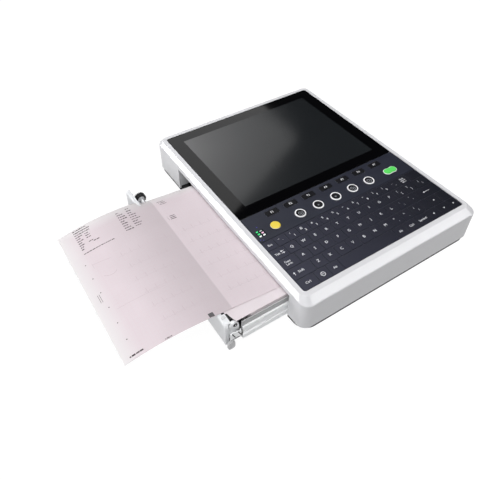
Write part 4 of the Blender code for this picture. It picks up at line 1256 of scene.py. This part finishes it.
def chart_print():
    chance = random.Random(12)
    text = []
    for line, length in enumerate((17.0, 21.0, 19.0, 9.0, 5.0, 7.5, 4.5, 6.0, 5.0, 4.0)):
        across = 200.0 - line * 3.75
        text += dashes(chance, -172.0, across, length, 1.2)
        if line in (3, 4, 5, 7):
            text += dashes(chance, -160.5, across - 0.4, 5.5)
        if line == 8:
            text += dashes(chance, -155.0, across + 1.0, 7.0)
    text += dashes(chance, -172.4, 158.6, 39.5, 1.0)
    names = (3.5, 7.5, 9.0, 10.5, 5.0, 7.0, 6.0, 8.0, 10.0)
    values = (4.5, 6.0, 5.0, 9.0, 8.0, 11.0, 6.5, 9.5, 7.0)
    for line, (name, value) in enumerate(zip(names, values)):
        across = 196.0 - line * 4.2
        text += dashes(chance, -117.0, across, name, 1.3)
        text += dashes(chance, -104.0, across + 1.5, value, 1.1)
    for line in range(3):
        text.append(level_stroke(-65.0 + line, 189.5 - line * 2.6, 9.0, 0.7))
        text.append(level_stroke(-65.5, 159.0 - line * 2.8, 10.0, 1.0))
    text += dashes(chance, -183.0, 4.6, 15.0, 1.5)
    text += dashes(chance, -145.5, 1.6, 9.0, 0.8)
    for number in range(6):
        text.append(level_stroke(-177.6, 142.2 - number * 23.5, 1.2, 1.2))
    for x in (-181.6, -179.6):
        text.append(stroke((x, 94.0), (x, 82.0), 0.4))
    lines = [stroke((-170.0, 137.6), (-148.5, 133.6), 0.5, TRACE_LIFT)]
    lines.append(stroke((-170.2, 139.5), (-170.2, 131.0), 0.4, TRACE_LIFT))
    curve = bend((-165.3, 114.2), (-156.0, 106.5), (-149.5, 113.5), 8)
    lines += [stroke(a, b, 0.45, TRACE_LIFT) for a, b in zip(curve, curve[1:])]
    for number in range(6):
        across = 128.0 - number * 21.0
        lines += trace(-141.0 + (number % 2) * 2, across, 66.0, 11.0, 6.0)
        lines += trace(-62.0, across, 55.0, 11.0, 6.0)
    lines.append(stroke((-170.8, 64.0), (-114.6, 62.6), 0.3, TRACE_LIFT))
    printing = mesh_object("chart_text", joined(text), PAPER_INK)
    traces = mesh_object("chart_traces", joined(lines), TRACE_INK)
    queue = mesh_object("queue_mark", level_stroke(-95.6, 3.2, 5.8, 5.4), MARK_GREY)
    return [finish(mark, "drawer") for mark in (printing, traces, queue)]


def folded_stack():
    """The pad of Z-folded paper: thin leaves, each a little out of line, and a loose one over the roller."""
    low, high = span("paper_pack")
    chance = random.Random(5)
    leaves = 34
    height = (high.z - 0.35 - low.z) / leaves
    shapes = []
    for leaf in range(leaves):
        jog = chance.uniform(0.0, 0.35)
        z = low.z + leaf * height
        shapes.append(box((low.x + jog, low.y + chance.uniform(0, 0.3), z),
                          (high.x - chance.uniform(0, 0.35), high.y - 0.2, z + height * 0.86)))
    near, top = low.y, SHEET_TOP - 0.45
    top_leaf = [
        (high.x, near), (high.x, high.y - 0.3), (-72.0, high.y - 0.3), (-74.0, 60.0), (-80.3, 36.0),
        (-80.3, 29.8), (-78.3, 29.5), (-76.3, 20.5), (-74.5, near + 0.3),
    ]
    shapes.append(prism(top_leaf, top - 0.12, top))
    stack = mesh_object("folded_stack", joined(shapes), PACK_PAPER)
    finish(stack, "drawer", ["paper_pack"])


# Sockets


def socket(name, block, opening, look, edge, node, slot):
    """A block with an opening cut into it."""
    obj = mesh_object(name, block, look)
    cut(obj, opening)
    soften(obj, edge)
    finish(obj, "housing", [node])


def mains_sockets():
    outside = BACK + 2
    block = back_block(INLET, (26.6, 20.0), SOCKET_BACK, BACK + 0.9, 2.0)
    opening = back_block(INLET, (22.6, 15.2), SOCKET_BACK + 3, outside, 3.0)
    socket("power_inlet", block, opening, SOCKET, 0.35, "mains_inlet", "socket_plastic")
    pins = []
    for dx, dz in ((-7.0, -2.0), (7.0, -2.0), (0.0, 2.0)):
        pins.append(back_block((INLET[0] + dx, INLET[1] + dz), (2.0, 4.0), SOCKET_BACK + 2.5, BACK - 4.0))
    blades = mesh_object("inlet_pins", joined(pins), STEEL)
    soften(blades, 0.4)
    finish(blades, "housing")
    block = back_block(SWITCH, (13.0, 19.0), SOCKET_BACK + 6, BACK + 0.9, 1.2)
    opening = back_block(SWITCH, (10.6, 16.6), SOCKET_BACK + 9, outside)
    socket("switch_bezel", block, opening, SOCKET, 0.35, "switch_frame", "socket_plastic")
    x, z = SWITCH
    pivot = BACK - 4.5
    outline = [(pivot - 3.0, z - 5.0), (BACK + 1.4, z - 6.7)]
    outline += bend((BACK + 1.2, z - 6.0), (BACK - 1.4, z), (BACK - 1.1, z + 6.0), 8)
    outline += [(BACK - 0.9, z + 6.6), (pivot - 3.0, z + 5.0)]
    rocker = mesh_object("rocker", prism(outline, x - 4.9, x + 4.9, "x"), SOCKET)
    soften(rocker, 0.25)
    finish(rocker, "rocker", ["power_switch"])
    nut = [(5.5, BACK + GAP), (6.0, BACK + 0.6), (6.0, BACK + 1.8), (5.5, BACK + 2.1)]
    stud = mesh_object("ground_stud", joined([
        rod(*STUD, 3.0, BACK - WALL - 6, BACK + 8.9, "y", 0.6, 32), turned(*STUD, nut, "y", 6),
        tube(*STUD, 6.6, 3.1, BACK + 0.05, BACK + GAP + 0.05, "y"),
    ]), STEEL)
    finish(stud, "housing", ["earth_stud"])


def usb_socket():
    x, z = USB
    block = back_block(USB, (14.4, 7.6), SOCKET_BACK + 2, BACK + 0.3, 0.8)
    opening = back_block(USB, (12.8, 5.6), SOCKET_BACK + 5, BACK + 2, 0.5)
    socket("usb_shell", block, opening, STEEL, 0.15, "usb_port", "steel")
    shapes = [prism(rectangle(x - 5.6, z + 0.3, x + 5.6, z + 2.0), SOCKET_BACK + 5.5, BACK - 2.5, "y")]
    for dx in (-3.5, -1.0, 1.0, 3.5):
        shapes.append(back_block((x + dx, z + 0.3), (1.0, 0.3), SOCKET_BACK + 7, BACK - 3.5))
    tongue = mesh_object("usb_tongue", joined(shapes), KEY_WHITE, GOLD)
    paint(tongue, 1, lambda middle: middle.z < z + 0.31)
    finish(tongue, "housing")


def network_socket():
    x, z = NETWORK
    keyed = [(6, -4.6), (6, 2.0), (3, 2.0), (3, 3.4)]
    outline = [(x + u, z + v) for u, v in keyed] + [(x - u, z + v) for u, v in reversed(keyed)]
    block = back_block(NETWORK, (16.0, 14.0), SOCKET_BACK, BACK + 0.3)
    opening = prism(outline, SOCKET_BACK + 5, BACK + 2, "y")
    socket("network_jack", block, opening, SOCKET, 0.2, "network_port", "socket_plastic")
    contacts = []
    for step in range(8):
        centre = (x - 3.8 + step * 1.05, z - 4.275)
        contacts.append(back_block(centre, (0.4, 0.55), SOCKET_BACK + 6, BACK - 2.0))
    finish(mesh_object("network_contacts", joined(contacts), GOLD), "housing")


def patient_socket():
    """15-pin connector with a jack post at each side."""
    y, z = PATIENT
    plate = around(y, z, (31.4, 12.4), 1.0, 4)(0)
    connector = mesh_object("lead_connector", prism(plate, 252.0, RIGHT + 0.8, "x"), STEEL)
    shell = [(-12.9, 4.2), (-11.2, -4.2), (11.2, -4.2), (12.9, 4.2)]
    add(connector, prism([(y + u, z + v) for u, v in shell], RIGHT - 1, RIGHT + 5, "x"))
    cut(connector, prism([(y + u * 0.94, z + v * 0.83) for u, v in shell], RIGHT - 2.5, RIGHT + 6, "x"))
    soften(connector, 0.4)
    finish(connector, "housing", ["patient_connector"])
    face = [(y + u * 0.9, z + v * 0.75) for u, v in shell]
    insert = mesh_object("lead_insert", prism(face, RIGHT - 2.4, RIGHT + 2.6, "x"), SOCKET)
    holes = []
    for count, start, height in ((8, -9.6, 1.4), (7, -8.2, -1.4)):
        holes += [circle(y + start + step * 2.74, z + height, 0.55, 12) for step in range(count)]
    cut(insert, *[prism(hole, RIGHT + 1.0, RIGHT + 3.0, "x") for hole in holes])
    finish(insert, "housing")
    profile = [(2.1, RIGHT + 0.75), (2.3, RIGHT + 1.2), (2.3, RIGHT + 4.0), (2.0, RIGHT + 4.4)]
    posts = [turned(y + side * 14.2, z, profile, "x", 6) for side in (-1, 1)]
    finish(mesh_object("jack_posts", joined(posts), STEEL), "housing")


# What stays as packed, with its own finish


def dress():
    looks = {
        "lcd_module": STEEL, "keypad_board": BOARD, "main_board": BOARD, "ecg_input_module": ALUMINIUM,
        "power_supply": ALUMINIUM, "battery_pack": BATTERY, "speaker": SOCKET, "head_mount": STEEL,
        "print_head": CERAMIC, "stepper_motor": STEEL, "gear_bracket": STEEL,
        "guide_rail_near": ALUMINIUM, "guide_rail_far": ALUMINIUM,
    }
    for node, look in looks.items():
        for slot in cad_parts[node].material_slots:
            slot.material = look


# Stage


def plain(name, grey, brightness):
    look = Look(name, 0.95, Specular_IOR_Level=0.1)
    look.colour(look.drift((grey, grey, grey), 0.005, 300.0))
    look.shader.inputs["Emission Color"].default_value = (1.0, 1.0, 1.0, 1.0)
    look.shader.inputs["Emission Strength"].default_value = brightness
    return look.material


def sheet_of(name, points, faces, look):
    mesh = bpy.data.meshes.new(name)
    mesh.from_pydata(points, [], faces)
    mesh.materials.append(look)
    obj = bpy.data.objects.new(name, mesh)
    bpy.context.scene.collection.objects.link(obj)
    return obj


def stage():
    """A white light table, a dimmer sheet under it for soft light, and a pale wall round them."""
    half = 6.0
    square = rectangle(-half, -half, half, half)
    floor = sheet_of("floor", swing(square, 0.0, "z"), [(0, 1, 2, 3)], plain("floor", 0.06, 0.97))
    floor.visible_diffuse = False
    bounce = sheet_of("bounce", swing(square, -0.002, "z"), [(0, 1, 2, 3)], plain("bounce", 0.2, 0.2))
    bounce.visible_camera = bounce.visible_glossy = bounce.visible_transmission = False
    rim = [(half * x, half * y, z) for x, y in circle(0, 0, 0.99, 48) for z in (0.0, half)]
    count = len(rim)
    around = [(i, i + 1, (i + 3) % count, (i + 2) % count) for i in range(0, count, 2)]
    wall = sheet_of("wall", rim, around, plain("wall", 0.1, 1.0))
    wall.visible_diffuse = wall.visible_glossy = wall.visible_transmission = wall.visible_shadow = False
    world = bpy.data.worlds.new("studio")
    world.use_nodes = True
    sky = world.node_tree.nodes["Background"]
    sky.inputs["Color"].default_value = (0.97, 0.98, 1.0, 1.0)
    sky.inputs["Strength"].default_value = 0.03
    bpy.context.scene.world = world


def softbox(name, azimuth, height, distance, size, radiance, roll=0):
    """A soft light of a given radiance, at an azimuth and an angle above the floor, that faces the part."""
    turn, lift = math.radians(azimuth), math.radians(height)
    way = Vector((math.cos(turn) * math.cos(lift), math.sin(turn) * math.cos(lift), math.sin(lift)))
    light = bpy.data.lights.new(name, "AREA")
    light.shape = "RECTANGLE"
    light.size, light.size_y = size
    light.energy = radiance * math.pi * size[0] * size[1]
    obj = bpy.data.objects.new(name, light)
    obj.location = way * distance
    facing = way.to_track_quat("Z", "Y") @ Quaternion((0, 0, 1), math.radians(roll))
    obj.rotation_euler = facing.to_euler()
    obj.visible_camera = False
    bpy.context.scene.collection.objects.link(obj)


def lights():
    softbox("overhead", 0, 90, 2.1, (1.8, 1.8), 4.3)
    softbox("front_right", 318, 42, 1.8, (0.95, 0.22), 8.5, -40)
    softbox("left_back", 143.5, 15.2, 2.0, (1.25, 0.2), 20.0, 10)
    softbox("left_front", 213, 16, 2.0, (0.8, 0.7), 11.0)
    softbox("far_window", 66.4, 37.7, 2.0, (0.87, 0.70), 1.05, 43)
    softbox("behind", 62, 5, 2.2, (1.6, 0.3), 3.0)


def camera():
    data = bpy.data.cameras.new("camera")
    data.lens = 38.8725
    data.sensor_width = 36.0
    data.shift_y = -0.0625
    obj = bpy.data.objects.new("camera", data)
    obj.location = (-0.2736, -0.4027, 0.4944)
    obj.rotation_euler = [math.radians(angle) for angle in (45.9448, -0.0064, -32.8685)]
    bpy.context.scene.collection.objects.link(obj)
    bpy.context.scene.camera = obj


camera()
stage()
lights()
housing_shell()
base_shell()
base_details()
keypad()
legends()
display()
function_keys()
round_keys()
copy_key()
start_key()
status_lights()
tray()
drawer_face()
roller_mounts()
platen()
gear_train()
drawer_fittings()
chart = printed_sheet()
prints = chart_print()
folded_stack()
mains_sockets()
usb_socket()
network_socket()
patient_socket()
dress()
bpy.context.scene.view_settings.view_transform = "Standard"
